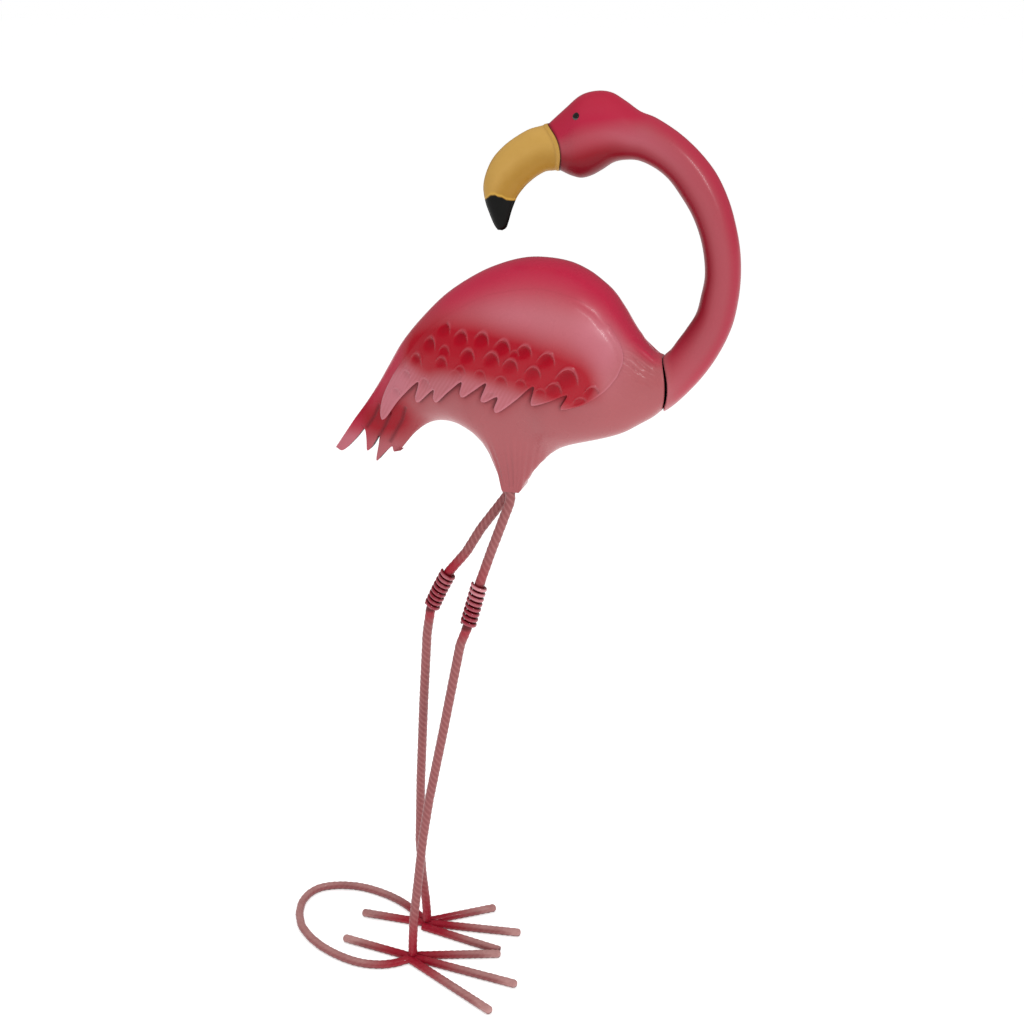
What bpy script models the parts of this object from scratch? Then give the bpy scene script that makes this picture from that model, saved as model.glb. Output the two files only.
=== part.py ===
"""Standing flamingo of pressed iron sheet on round iron bars.

Metres, +Z up. The bird faces +X, and its right side is on -Y. The ground is z = 0. The pose and the
outlines are shares of the height, in thousandths; sheet, bars, wire and gaps have sizes of their own.
"""

import math
from typing import NamedTuple

import bmesh
import bpy
import numpy as np
from mathutils import Matrix, Vector
from mathutils.bvhtree import BVHTree

# Overall size
HEIGHT = 0.900
SHARE = HEIGHT / 1000.0

# Stock that the bird is made of
SHEET = 0.0009
WING_SHEET = 0.0011
BAR_RADIUS = 0.0050
WIRE_RADIUS = 0.0015

# Gaps between pieces
FIT_GAP = 0.0003
WING_GAP = 0.0009

# Height of the flat sole under the thigh, which the legs are welded to
THIGH_Z = 600

# Seam flange where the two pressed halves meet: a sheet and half of the gap between the two
FLANGE_HALF_GAP = 0.0004
FLANGE_HALF = SHEET + FLANGE_HALF_GAP

# Keel under the belly and flare of the thigh, as shares of the half widths, and the shares of the
# way down over which each of the two sets in
KEEL_SHARE = 1.2
KEEL_START = 0.5
KEEL_REACH = 0.3
THIGH_FLARE = 1.6
THIGH_START = 0.35
THIGH_REACH = 0.4

# Half widths of the tail's cut edge at its back and at its belly, as shares of the tail root's
TAIL_SHARES = (0.46, 0.85)

# Facets
BAR_BEVEL_RESOLUTION = 2
BAR_FACETS = 4 + 2 * BAR_BEVEL_RESOLUTION
WIRE_BEVEL_RESOLUTION = 1
FACET_DOWN = math.pi / BAR_FACETS
BAR_FLAT = BAR_RADIUS * math.cos(FACET_DOWN)
COIL_STEPS = 8
BODY_RINGS = 26
NECK_RINGS = 28
NECK_SIDE_STEPS = 6
BEAK_SIDE_STEPS = NECK_SIDE_STEPS
LOOP_POINTS = 25

# Knee coils; the slack is how much wider than the bar the wire is wound
COIL_TURNS = 8
COIL_PITCH = 0.0056
COIL_SLACK = 0.00015
COIL_RADIUS = BAR_RADIUS + FIT_GAP + COIL_SLACK + WIRE_RADIUS

# Eyes: the top of an oval ball, less the share of its height that lies below the head
EYE_RADIUS = 0.0034
EYE_HEIGHT = 0.0026
EYE_SUNK_SHARE = 0.25
EYE_X = 101
EYE_Z = 979
EYE_SEGMENTS = 12
EYE_RINGS = 6

# Points nearer than this are one point, and edges that bend more stay sharp
WELD_DISTANCE = 1e-6
SHEET_SHARP = math.radians(40)
BAR_SHARP = math.radians(50)

# Colours
ROSE = (0.45, 0.09, 0.13)
PINK = (0.55, 0.22, 0.27)
RED = (0.40, 0.02, 0.05)
MUSTARD = (0.52, 0.31, 0.06)
BLACK = (0.01, 0.01, 0.01)


class Section(NamedTuple):
    """One cross-section: its top and bottom in the side view, half width, bow and thigh width."""

    top_x: float
    top_z: float
    bottom_x: float
    bottom_z: float
    half: float
    bow: float = 0.0
    thigh: float = 0.0
    belly: float = 1.0


# The body from the tail's root to the rim that the neck meets
BODY = [
    Section(-143, 662, -91, 633, 6.5),
    Section(-128, 682, -74, 653, 12),
    Section(-114, 703, -55, 666, 19),
    Section(-102, 723, -34, 668, 27, belly=0.98),
    Section(-84, 752, -14, 661, 37, belly=0.95),
    Section(-61, 779, 2, 645, 46, belly=0.90),
    Section(-36, 803, 15, 624, 53, thigh=7, belly=0.85),
    Section(-6, 823, 24, 602, 57, thigh=13, belly=0.79),
    Section(20, 835, 29, 595, 59, thigh=13, belly=0.76),
    Section(45, 842, 38, 595, 60, thigh=13, belly=0.75),
    Section(68, 843, 45, 603, 60, thigh=13, belly=0.76),
    Section(90, 840, 53, 616, 59, thigh=7, belly=0.82),
    Section(108, 833, 65.5, 632, 57, thigh=2, belly=0.92),
    Section(122, 824, 82, 648, 54),
    Section(135, 813, 106, 656, 49),
    Section(147, 797, 131, 664, 43),
    Section(156.5, 782, 150, 671.5, 37, bow=1),
    Section(167.5, 767, 166, 681.5, 32, bow=3),
    Section(177.5, 757, 179, 690, 29, bow=5),
    Section(184.5, 753.5, 186.8, 697, 27.5, bow=6),
    Section(186.3, 752, 188.7, 699, 26, bow=6),
]

# The tail's cut edge from its back edge to its belly edge: four teeth with blunt tips
TAIL_EDGE = [
    (-166.5, 628),
    (-157, 626),
    (-143, 639),
    (-127, 656),
    (-129.5, 630),
    (-124, 632),
    (-114, 646),
    (-118.5, 620),
    (-114, 622),
    (-101, 642),
    (-98, 630),
    (-90, 632),
]

# The wing's edge below its crest, from the front to the back; depth is the groove between two feathers
WING_EDGE = [
    (140, 783, 0),
    (149, 769, 0),
    (153.5, 754, 0),
    (149, 738, 0),
    (137, 723, 0),
    (119, 710.5, 0),
    (100, 704.3, 0),
    (96.5, 707.5, 0),
    (102.7, 720.5, 1),
    (86, 713.5, 0),
    (71, 708.3, 0),
    (67.5, 711, 0),
    (71, 728.5, 1),
    (52, 712.5, 0),
    (33.5, 698.2, 0),
    (29, 701, 0),
    (34, 714.7, 1),
    (20.5, 708, 0),
    (16.5, 711, 0),
    (23.4, 728, 1),
    (10, 719, 0),
    (-1.5, 711, 0),
    (-5.5, 714.5, 0),
    (-3, 726.5, 1),
    (-18.5, 714, 0),
    (-34, 700.3, 0),
    (-38.5, 703.5, 0),
    (-37, 713, 1),
    (-57.5, 695.8, 0),
    (-61.5, 699.5, 0),
    (-55.5, 718, 1),
    (-82, 694, 0),
    (-102.5, 669.5, 0),
    (-107.5, 672.5, 0),
    (-102.5, 693, 0),
    (-90, 716, 0),
    (-77, 735, 0),
]
WING_CREST = [
    (134, 789),
    (125, 799),
    (110, 809),
    (91, 815),
    (69, 819),
    (43, 816),
    (17, 809),
    (-9, 796),
    (-33, 781),
    (-53, 764),
    (-68, 746),
]
# Rows across the wing from crest to edge: share of the way, height of the pressed relief in metres
WING_ROWS = [
    (0.00, 0.0),
    (0.25, 0.0),
    (0.37, 0.0016),
    (0.43, 0.0002),
    (0.58, 0.0016),
    (0.64, 0.0002),
    (0.85, 0.0010),
    (1.00, 0.0),
]
WING_TIP_LIFT = 0.0022
# Share of the relief that is lost in the groove between two feathers
GROOVE_DEPTH = 0.9
# Places tested along each side of a facet, and rounds of raising
FACET_SAMPLES = (0.0, 0.33, 0.67, 1.0)
LIFT_ROUNDS = 4

# The neck and head from the same rim to the beak; here the top is the inner side of the curve
NECK = [
    Section(187.0, 752, 189.4, 699, 26, bow=8),
    Section(188.6, 754.6, 191.2, 697.4, 27.5, bow=8),
    Section(194, 760, 204, 708, 25, bow=4),
    Section(200, 769, 224, 731, 21.5, bow=1),
    Section(208, 781, 240, 756, 19.5),
    Section(217, 797, 251.5, 783, 19),
    Section(221, 815, 256.5, 808, 18.5),
    Section(223.5, 833, 258, 833, 18),
    Section(221.5, 853, 256, 858, 18),
    Section(216.5, 872, 250.5, 882, 18.5),
    Section(208.5, 890, 242.5, 905, 18.5),
    Section(198, 906, 230.5, 927.5, 19),
    Section(186, 921, 214.5, 946.5, 19),
    Section(173, 931, 194.5, 963.5, 19.5),
    Section(158, 937.5, 172, 977, 20.5),
    Section(146, 938.5, 156, 983, 22),
    Section(133, 936, 142, 992, 24.5),
    Section(121, 928.5, 128, 999.5, 27),
    Section(111, 923, 113, 1000.5, 28.5),
    Section(101, 920.5, 98.5, 996, 28, bow=2),
    Section(91, 922.5, 84, 984, 25, bow=6),
    Section(80.5, 926.8, 68.3, 970.2, 20.3, bow=10),
]

# The beak from its collar to its hooked tip
BEAK = [
    Section(67.8, 970.2, 80, 926.8, 20.3, bow=10),
    Section(63.5, 969.5, 76, 926.4, 20.0, bow=9.5),
    Section(62.5, 968.6, 75.2, 926.8, 19.2, bow=9),
    Section(49, 965, 66, 925, 17.5, bow=6),
    Section(37, 958.5, 57.5, 920.5, 15.5, bow=3),
    Section(25, 950, 49.5, 914.5, 13.5),
    Section(14, 938.5, 43, 908.5, 12),
    Section(6.5, 925, 37, 900.5, 10.5),
    Section(2.7, 910, 33, 891.5, 9),
    Section(4.5, 895.5, 30.5, 884.5, 7.5),
    Section(8.8, 883.5, 28.3, 877, 6),
    Section(13.5, 873, 25.8, 870.3, 4),
    Section(17.4, 867.8, 21.8, 867.5, 2),
]

# Ground plan: x and y of each foot's centre, the ends of its long bar, and both ends of each side toe
FEET = {
    "right": {
        "centre": (-82, -33.5),
        "back": (-177, -22.5),
        "middle": (51.5, -45),
        "inner": ((-74, -27.5), (17, 3)),
        "outer": ((-76, -42), (36.2, -97.6)),
    },
    "left": {
        "centre": (-88, 33),
        "back": (-174, 30.5),
        "middle": (29, 48),
        "inner": ((-82, 24), (13, 8.5)),
        "outer": ((-84, 40.5), (-15.4, 88.1)),
    },
}
# The loop behind the feet, from the right foot to the left foot
LOOP = [
    (-86, -38),
    (-98, -49),
    (-115, -57.5),
    (-140, -61),
    (-172, -55),
    (-208, -39),
    (-240, -11),
    (-256, 29),
    (-250, 59),
    (-228, 74),
    (-198, 80),
    (-166, 76),
    (-137, 66.5),
    (-112, 52),
    (-92, 37),
]

# Each leg from the thigh down, and the stretch that the knee coil is wound on, as heights
LEGS = {
    "right": {
        "path": [
            (32, -7.2, 588),
            (11, -9, 529),
            (-0.5, -11, 494),
            (-15.5, -14, 438),
            (-23, -15, 418),
            (-43, -20, 310),
            (-60, -25, 221),
            (-68, -28, 168),
            (-74.5, -31, 108),
            (-80, -33, 60),
        ],
        "coil": (494, 438),
    },
    "left": {
        "path": [
            (25, 7.2, 590),
            (-6, 9, 547),
            (-23, 10, 518),
            (-43, 11, 493),
            (-55, 12.3, 470),
            (-67, 14, 444),
            (-72.5, 15, 412),
            (-80, 19, 324),
            (-88, 24, 217),
            (-93, 28, 128),
            (-92, 31, 80),
            (-89, 33, 40),
        ],
        "coil": (494, 442),
    },
}


def clear_scene():
    """Remove every object and the startup data."""
    for obj in list(bpy.data.objects):
        bpy.data.objects.remove(obj, do_unlink=True)


def new_collection(name):
    """Make a collection in the scene."""
    collection = bpy.data.collections.new(name)
    bpy.context.scene.collection.children.link(collection)
    return collection


def enamel(name, colour, roughness=0.3):
    """A glossy enamel on iron."""
    material = bpy.data.materials.new(name)
    material.use_nodes = True
    shader = material.node_tree.nodes["Principled BSDF"]
    shader.inputs["Base Color"].default_value = (*colour, 1.0)
    shader.inputs["Roughness"].default_value = roughness
    shader.inputs["Metallic"].default_value = 0.0
    return material


def smooth_path(points, count):
    """Catmull-Rom curve through rows of numbers, read at an even spacing of the rows."""
    rows = np.asarray(points, dtype=float)
    padded = np.vstack([2 * rows[0] - rows[1], rows, 2 * rows[-1] - rows[-2]])
    place = np.linspace(0.0, len(rows) - 1.0, count)
    index = np.minimum(place.astype(int), len(rows) - 2)
    t = (place - index)[:, None]
    a, b, c, d = (padded[index + k] for k in range(4))
    return 0.5 * (2 * b + (c - a) * t + (2 * a - 5 * b + 4 * c - d) * t**2 + (3 * b - a - 3 * c + d) * t**3)


def half_width(section, v):
    """Half width at a share v of the way down: a round belly, a keel that tapers under it, and the thigh."""
    body = np.clip(v / section.belly, 0.0, 1.0)
    ellipse = section.half * 2.0 * np.sqrt(np.clip(body * (1.0 - body), 0.0, 0.25))
    keel = KEEL_SHARE * section.half * (1.0 - v) * np.clip((v - KEEL_START) / KEEL_REACH, 0.0, 1.0)
    flare = 1.0 + THIGH_FLARE * (1.0 - v)
    slab = max(section.thigh, 0.0) * flare * np.clip((v - THIGH_START) / THIGH_REACH, 0.0, 1.0)
    return SHARE * (ellipse**3 + keel**3 + slab**3) ** (1.0 / 3.0)


def ring(section, steps, inset=0.0):
    """Corners of one cross-section, down its right side and up its left; inset is the wall left outside."""
    angle = np.linspace(0.0, math.pi, steps + 1)
    v = (1.0 - np.cos(angle)) / 2.0
    top = np.array([section.top_x, section.top_z]) * SHARE
    bottom = np.array([section.bottom_x, section.bottom_z]) * SHARE
    along = (bottom - top) / np.linalg.norm(bottom - top)
    normal = np.array([-along[1], along[0]])
    side = np.maximum(half_width(section, v), FLANGE_HALF)
    bowed = section.bow * SHARE * (side / side.max()) ** 2
    side = side - inset
    first = top + along * inset
    last = bottom - along * inset
    middle = first + (last - first) * v[:, None] + normal * bowed[:, None] * bow_sense(section)
    middle[:, 1] = np.maximum(middle[:, 1], THIGH_Z * SHARE + inset)
    right = np.column_stack([middle[:, 0], -side, middle[:, 1]])
    left = np.column_stack([middle[:, 0], side, middle[:, 1]])
    return np.vstack([right, left[::-1]])


def bow_sense(section):
    """+1 or -1, so that a bow always leans towards +X."""
    return 1.0 if section.top_z > section.bottom_z else -1.0


def tail_ring(steps_around):
    """The tail's cut edge as the last ring: the teeth in the side view, on both faces of the tail."""
    edge = np.array(TAIL_EDGE) * SHARE
    side = np.linspace(*TAIL_SHARES, len(edge)) * BODY[0].half * SHARE
    side[0] = FLANGE_HALF
    right = np.column_stack([edge[:, 0], -side, edge[:, 1]])
    left = np.column_stack([edge[:, 0], side, edge[:, 1]])
    return np.vstack([right, left[::-1]])


def mesh_object(name, verts, faces, material, collection):
    """A closed mesh object with its faces turned outwards."""
    mesh = bpy.data.meshes.new(name)
    mesh.from_pydata([tuple(v) for v in verts], [], faces)
    solid = bmesh.new()
    solid.from_mesh(mesh)
    bmesh.ops.remove_doubles(solid, verts=solid.verts, dist=WELD_DISTANCE)
    bmesh.ops.recalc_face_normals(solid, faces=solid.faces)
    solid.to_mesh(mesh)
    solid.free()
    mesh.shade_smooth()
    mesh.set_sharp_from_angle(angle=SHEET_SHARP)
    mesh.materials.append(material)
    obj = bpy.data.objects.new(name, mesh)
    collection.objects.link(obj)
    return obj


def bridge(start, other, count):
    """Quads between two rings of the same number of corners."""
    return [(start + i, start + (i + 1) % count, other + (i + 1) % count, other + i) for i in range(count)]


def cap(start, count):
    """Quads across a ring, from each corner of its right side to the same corner of its left side."""
    half = count // 2
    return [(start + i, start + i + 1, start + count - 2 - i, start + count - 1 - i) for i in range(half - 1)]


def shell(name, outer, inner, material, collection):
    """A sheet-metal shell that is open at its first rings and closed at its last ones."""
    count = len(outer[0])
    verts = np.vstack(list(outer) + list(inner))
    faces = []
    for k in range(len(outer) - 1):
        faces += bridge(k * count, (k + 1) * count, count)
    base = len(outer) * count
    for k in range(len(inner) - 1):
        faces += bridge(base + k * count, base + (k + 1) * count, count)
    faces += bridge(0, base, count)
    faces += cap((len(outer) - 1) * count, count)
    faces += cap(base + (len(inner) - 1) * count, count)
    return mesh_object(name, verts, faces, material, collection)


def sections_of(table, count):
    """Smoothly spaced sections between the given ones."""
    return [Section(*row) for row in smooth_path(table, count)]


def build_body(material, collection):
    """Body, thigh and tail: one hollow sheet form, open at the neck, with its tail cut in teeth."""
    rows = sections_of(BODY, BODY_RINGS)[::-1]
    steps = len(TAIL_EDGE) - 1
    outer = [ring(s, steps) for s in rows] + [tail_ring(steps)]
    inner = [ring(s, steps, SHEET) for s in rows]
    return shell("body", outer, inner, material, collection)


def wing_grid(tree, sign):
    """Places and outward directions on one side of the body, for each row and column of the wing."""
    edge = np.array(WING_EDGE)[:, :2] * SHARE
    crest = smooth_path(WING_CREST, len(edge)) * SHARE
    places = []
    normals = []
    for share, _ in WING_ROWS:
        for x, z in crest + (edge - crest) * share:
            start = Vector((x, sign * HEIGHT, z))
            place, normal, _, _ = tree.ray_cast(start, Vector((0.0, -sign, 0.0)))
            places.append(place)
            normals.append(normal)
    return np.array(places), np.array(normals)


def lifted_clear(tree, places, normals, lift, columns):
    """Raise the sheet's corners until each of its facets clears the body by the wing's gap."""
    weights = [(a, b) for a in FACET_SAMPLES for b in FACET_SAMPLES]
    lift = lift.copy()
    for _ in range(LIFT_ROUNDS):
        sheet = places + normals * lift[:, None]
        short = np.zeros(len(lift))
        for corner in range(len(lift) - columns):
            if corner % columns == columns - 1:
                continue
            quad = [corner, corner + 1, corner + columns, corner + columns + 1]
            for a, b in weights:
                spot = (1 - a) * (1 - b) * sheet[quad[0]] + a * (1 - b) * sheet[quad[1]]
                spot = spot + (1 - a) * b * sheet[quad[2]] + a * b * sheet[quad[3]]
                near, normal, _, _ = tree.find_nearest(Vector(spot))
                height = (Vector(spot) - near).dot(normal)
                short[quad] = np.maximum(short[quad], WING_GAP - height)
        lift += short
    return lift


def build_wing(name, sign, body, material, collection):
    """A thin pressed sheet that lies on the body: its feathers are pressed in rows and cut at the edge."""
    tree = BVHTree.FromObject(body, bpy.context.evaluated_depsgraph_get())
    places, normals = wing_grid(tree, sign)
    rows = np.array(WING_ROWS)
    groove = np.array(WING_EDGE)[:, 2]
    columns = len(groove)
    rise = (WING_GAP + WING_TIP_LIFT * rows[:, :1] ** 2 * np.ones(columns)).ravel()
    rise = lifted_clear(tree, places, normals, rise, columns)
    rise += (rows[:, 1:] * (1.0 - GROOVE_DEPTH * groove)).ravel()
    inner = places + normals * rise[:, None]
    outer = inner + normals * WING_SHEET
    verts = np.vstack([outer, inner])
    back = len(outer)
    faces = []
    for r in range(len(rows) - 1):
        for c in range(columns - 1):
            a = r * columns + c
            quad = (a, a + 1, a + 1 + columns, a + columns)
            faces += [quad, tuple(back + i for i in reversed(quad))]
    top = list(range(columns))
    low = [(len(rows) - 1) * columns + c for c in range(columns)]
    front = [r * columns for r in range(len(rows))]
    rear = [r * columns + columns - 1 for r in range(len(rows))]
    for border in (top, low, front, rear):
        faces += [(a, b, back + b, back + a) for a, b in zip(border, border[1:])]
    return mesh_object(name, verts, faces, material, collection)


def build_neck(material, collection):
    """Neck and head: one hollow sheet form, open at the body and closed behind the beak."""
    rows = sections_of(NECK, NECK_RINGS)
    outer = [ring(s, NECK_SIDE_STEPS) for s in rows]
    inner = [ring(s, NECK_SIDE_STEPS, SHEET) for s in rows[:-1]]
    return shell("neck_and_head", outer, inner, material, collection)


def build_beak(material, collection):
    """Beak: a hollow sheet form with a raised collar, open at the head and closed at its hooked tip."""
    rows = [Section(*row) for row in BEAK]
    outer = [ring(s, BEAK_SIDE_STEPS) for s in rows]
    inner = [ring(s, BEAK_SIDE_STEPS, SHEET) for s in rows[:-3]]
    return shell("beak", outer, inner, material, collection)


def bar(name, points, radius, material, collection, resolution=BAR_BEVEL_RESOLUTION, tilt=0.0):
    """A round bar along a path, as a welded mesh with flat ends."""
    curve = bpy.data.curves.new(name + "_path", "CURVE")
    curve.dimensions = "3D"
    curve.twist_mode = "MINIMUM"
    curve.bevel_depth = radius
    curve.bevel_resolution = resolution
    curve.use_fill_caps = True
    spline = curve.splines.new("POLY")
    spline.points.add(len(points) - 1)
    for point, place in zip(spline.points, points):
        point.co = (*place, 1.0)
        point.tilt = tilt
    guide = bpy.data.objects.new(name + "_path", curve)
    collection.objects.link(guide)
    evaluated = guide.evaluated_get(bpy.context.evaluated_depsgraph_get())
    mesh = bpy.data.meshes.new_from_object(evaluated)
    welded = bmesh.new()
    welded.from_mesh(mesh)
    bmesh.ops.remove_doubles(welded, verts=welded.verts, dist=WELD_DISTANCE)
    bmesh.ops.recalc_face_normals(welded, faces=welded.faces)
    welded.to_mesh(mesh)
    welded.free()
    mesh.shade_smooth()
    mesh.set_sharp_from_angle(angle=BAR_SHARP)
    mesh.materials.clear()
    mesh.materials.append(material)
    obj = bpy.data.objects.new(name, mesh)
    obj.matrix_world = guide.matrix_world
    collection.objects.link(obj)
    bpy.data.objects.remove(guide, do_unlink=True)
    return obj


def cut(piece, cutter):
    """Cut a piece by a wider copy of its neighbour, so that the gap for the weld is left."""
    cutter.hide_render = True
    cutter.display_type = "WIRE"
    modifier = piece.modifiers.new("cut_" + cutter.name, "BOOLEAN")
    modifier.operation = "DIFFERENCE"
    modifier.solver = "EXACT"
    modifier.object = cutter


def on_ground(x, y):
    """A place on the ground for the middle of a bar that lies on one of its flats."""
    return (x * SHARE, y * SHARE, BAR_FLAT)


def build_feet(material, collection, cutters):
    """Each foot: one long bar for the back and middle toes, and two side toes butted against it."""
    long_cutters = []
    toes = {}
    for side, foot in FEET.items():
        line = [on_ground(*foot["back"]), on_ground(*foot["centre"]), on_ground(*foot["middle"])]
        bar(f"long_toe_{side}", line, BAR_RADIUS, material, collection, tilt=FACET_DOWN)
        wide = bar(f"long_toe_cutter_{side}", line, BAR_RADIUS + FIT_GAP, material, cutters, tilt=FACET_DOWN)
        long_cutters.append(wide)
        for which in ("inner", "outer"):
            ends = [on_ground(*place) for place in foot[which]]
            toe = bar(f"{which}_toe_{side}", ends, BAR_RADIUS, material, collection, tilt=FACET_DOWN)
            cut(toe, wide)
            toes[which, side] = ends, toe
    ends, _ = toes["inner", "right"]
    tip_cutter = bar("inner_toe_cutter", ends, BAR_RADIUS + FIT_GAP, material, cutters, tilt=FACET_DOWN)
    cut(toes["inner", "left"][1], tip_cutter)
    return long_cutters


def build_loop(material, collection, long_cutters):
    """The loop that lies behind the feet and keeps the bird from tipping over."""
    points = [on_ground(x, y) for x, y in smooth_path(LOOP, LOOP_POINTS)]
    loop = bar("base_loop", points, BAR_RADIUS, material, collection, tilt=FACET_DOWN)
    for cutter in long_cutters:
        cut(loop, cutter)


def leg_path(side):
    """A leg's points from under the thigh to the top of the foot's long bar."""
    inner = [(x * SHARE, y * SHARE, z * SHARE) for x, y, z in LEGS[side]["path"]]
    first = (inner[0][0], inner[0][1], THIGH_Z * SHARE - FIT_GAP)
    foot_x, foot_y, _ = on_ground(*FEET[side]["centre"])
    stub = 2 * BAR_RADIUS
    sole = 2 * BAR_FLAT + FIT_GAP
    return [first] + inner + [(foot_x, foot_y, sole + stub), (foot_x, foot_y, sole)]


def coil_points(path, high, low):
    """A left-hand helix round the straight runs of a leg between two heights."""
    rows = np.array(path)
    order = np.argsort(rows[:, 2])
    middle = (high + low) / 2 * SHARE
    height = COIL_TURNS * COIL_PITCH

    def axis_at(z):
        return np.array([np.interp(z, rows[order, 2], rows[order, k]) for k in range(3)])

    slope = axis_at(high * SHARE) - axis_at(low * SHARE)
    rise = slope[2] / np.linalg.norm(slope)
    z = np.linspace(-height / 2, height / 2, COIL_TURNS * COIL_STEPS + 1) * rise + middle
    axis = np.array([axis_at(value) for value in z])
    forward = slope / np.linalg.norm(slope)
    across = np.cross(forward, (0.0, 1.0, 0.0))
    across /= np.linalg.norm(across)
    other = np.cross(forward, across)
    turn = np.linspace(0.0, -2 * math.pi * COIL_TURNS, len(z))[:, None]
    return axis + COIL_RADIUS * (np.cos(turn) * across + np.sin(turn) * other)


def build_legs(material, coil_material, collection):
    """The two legs and the wire wound round each at the knee."""
    for side in LEGS:
        path = leg_path(side)
        bar(f"leg_{side}", path, BAR_RADIUS, material, collection)
        points = coil_points(path, *LEGS[side]["coil"])
        bar(f"knee_coil_{side}", points, WIRE_RADIUS, coil_material, collection, WIRE_BEVEL_RESOLUTION)


def build_eyes(head, material, collection):
    """A glossy dome on each side of the head, set on the facet that it faces."""
    graph = bpy.context.evaluated_depsgraph_get()
    tree = BVHTree.FromObject(head, graph)
    for side, sign in (("right", -1.0), ("left", 1.0)):
        start = Vector((EYE_X * SHARE, sign * HEIGHT, EYE_Z * SHARE))
        place, normal, _, _ = tree.ray_cast(start, Vector((0.0, -sign, 0.0)))
        dome = bmesh.new()
        bmesh.ops.create_uvsphere(dome, u_segments=EYE_SEGMENTS, v_segments=EYE_RINGS, radius=EYE_RADIUS)
        bmesh.ops.scale(dome, vec=(1.0, 1.0, EYE_HEIGHT / EYE_RADIUS), verts=dome.verts)
        geometry = dome.verts[:] + dome.edges[:] + dome.faces[:]
        middle = (0.0, 0.0, EYE_HEIGHT * EYE_SUNK_SHARE)
        halved = bmesh.ops.bisect_plane(
            dome, geom=geometry, plane_co=middle, plane_no=(0.0, 0.0, 1.0), clear_inner=True, dist=1e-7
        )
        rim = [item for item in halved["geom_cut"] if isinstance(item, bmesh.types.BMEdge)]
        bmesh.ops.holes_fill(dome, edges=rim)
        bmesh.ops.translate(dome, vec=(0.0, 0.0, FIT_GAP - middle[2]), verts=dome.verts)
        turn = normal.to_track_quat("Z", "Y").to_matrix().to_4x4()
        bmesh.ops.transform(dome, matrix=Matrix.Translation(place) @ turn, verts=dome.verts)
        bmesh.ops.recalc_face_normals(dome, faces=dome.faces)
        mesh = bpy.data.meshes.new(f"eye_{side}")
        dome.to_mesh(mesh)
        dome.free()
        mesh.shade_smooth()
        mesh.materials.append(material)
        collection.objects.link(bpy.data.objects.new(f"eye_{side}", mesh))


def main():
    """Build the bird."""
    clear_scene()
    bird = new_collection("iron_flamingo")
    cutters = new_collection("cutters")
    rose = enamel("rose_enamel", ROSE)
    pink = enamel("pink_bar_enamel", PINK, 0.4)
    red = enamel("red_coil_enamel", RED, 0.4)
    body = build_body(rose, bird)
    for side, sign in (("right", -1.0), ("left", 1.0)):
        build_wing(f"wing_{side}", sign, body, rose, bird)
    head = build_neck(rose, bird)
    build_beak(enamel("mustard_enamel", MUSTARD, 0.45), bird)
    build_eyes(head, enamel("black_enamel", BLACK, 0.1), bird)
    long_cutters = build_feet(pink, bird, cutters)
    build_loop(pink, bird, long_cutters)
    build_legs(pink, red, bird)


main()
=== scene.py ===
"""Looks of a standing flamingo of pressed and enamelled iron sheet on ribbed bars.

Everything is in metres in the solids' own frame: +Z up, the bird faces +X, its right side is on -Y.
Outlines are shares of the bird's height, in thousandths.
"""

import logging
import math
from dataclasses import dataclass, field
from enum import Enum
from typing import Any, Callable, Sequence, Union

import bmesh
import bpy
import numpy as np
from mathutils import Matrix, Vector

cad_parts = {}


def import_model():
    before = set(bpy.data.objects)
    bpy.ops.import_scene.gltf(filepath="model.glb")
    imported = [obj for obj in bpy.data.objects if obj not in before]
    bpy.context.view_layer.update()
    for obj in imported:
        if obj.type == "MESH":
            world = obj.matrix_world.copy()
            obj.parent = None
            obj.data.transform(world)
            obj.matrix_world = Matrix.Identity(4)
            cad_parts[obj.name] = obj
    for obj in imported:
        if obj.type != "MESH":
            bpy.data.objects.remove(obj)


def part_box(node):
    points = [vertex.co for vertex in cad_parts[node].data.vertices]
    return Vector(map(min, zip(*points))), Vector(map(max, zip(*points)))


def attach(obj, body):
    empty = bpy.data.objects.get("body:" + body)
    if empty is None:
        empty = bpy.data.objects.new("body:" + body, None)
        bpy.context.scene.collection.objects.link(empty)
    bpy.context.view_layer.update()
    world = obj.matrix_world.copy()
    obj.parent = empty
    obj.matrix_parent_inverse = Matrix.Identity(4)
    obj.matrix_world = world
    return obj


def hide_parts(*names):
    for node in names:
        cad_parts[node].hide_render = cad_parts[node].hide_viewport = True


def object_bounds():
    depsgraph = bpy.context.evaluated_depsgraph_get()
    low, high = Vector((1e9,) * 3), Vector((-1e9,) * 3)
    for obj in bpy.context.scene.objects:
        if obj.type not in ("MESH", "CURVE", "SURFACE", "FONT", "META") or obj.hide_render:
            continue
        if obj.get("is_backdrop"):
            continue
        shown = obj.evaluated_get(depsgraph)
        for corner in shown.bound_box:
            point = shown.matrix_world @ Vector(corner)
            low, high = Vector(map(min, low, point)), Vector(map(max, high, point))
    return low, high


LOG = logging.getLogger("flamingo")
SHARE = 0.900 / 1000.0
SHEET = 0.0009
FLANGE_HALF = 0.0013
FIT_GAP = 0.0003
BAR_RADIUS = 0.0050
BAR_AXIS = BAR_RADIUS * math.cos(math.pi / 8)
WIRE_RADIUS = 0.0015
THIGH_Z = 600.0

Array = np.ndarray
Value = Union["Sock", float, Sequence[float]]
Point = tuple[float, float]
Colour = tuple[float, float, float]


class Side(Enum):
    """A side of the bird, and the sign of its Y."""

    RIGHT = -1.0
    LEFT = 1.0

    @property
    def word(self) -> str:
        """Give the word that the solids' names use."""
        return self.name.lower()


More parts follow.
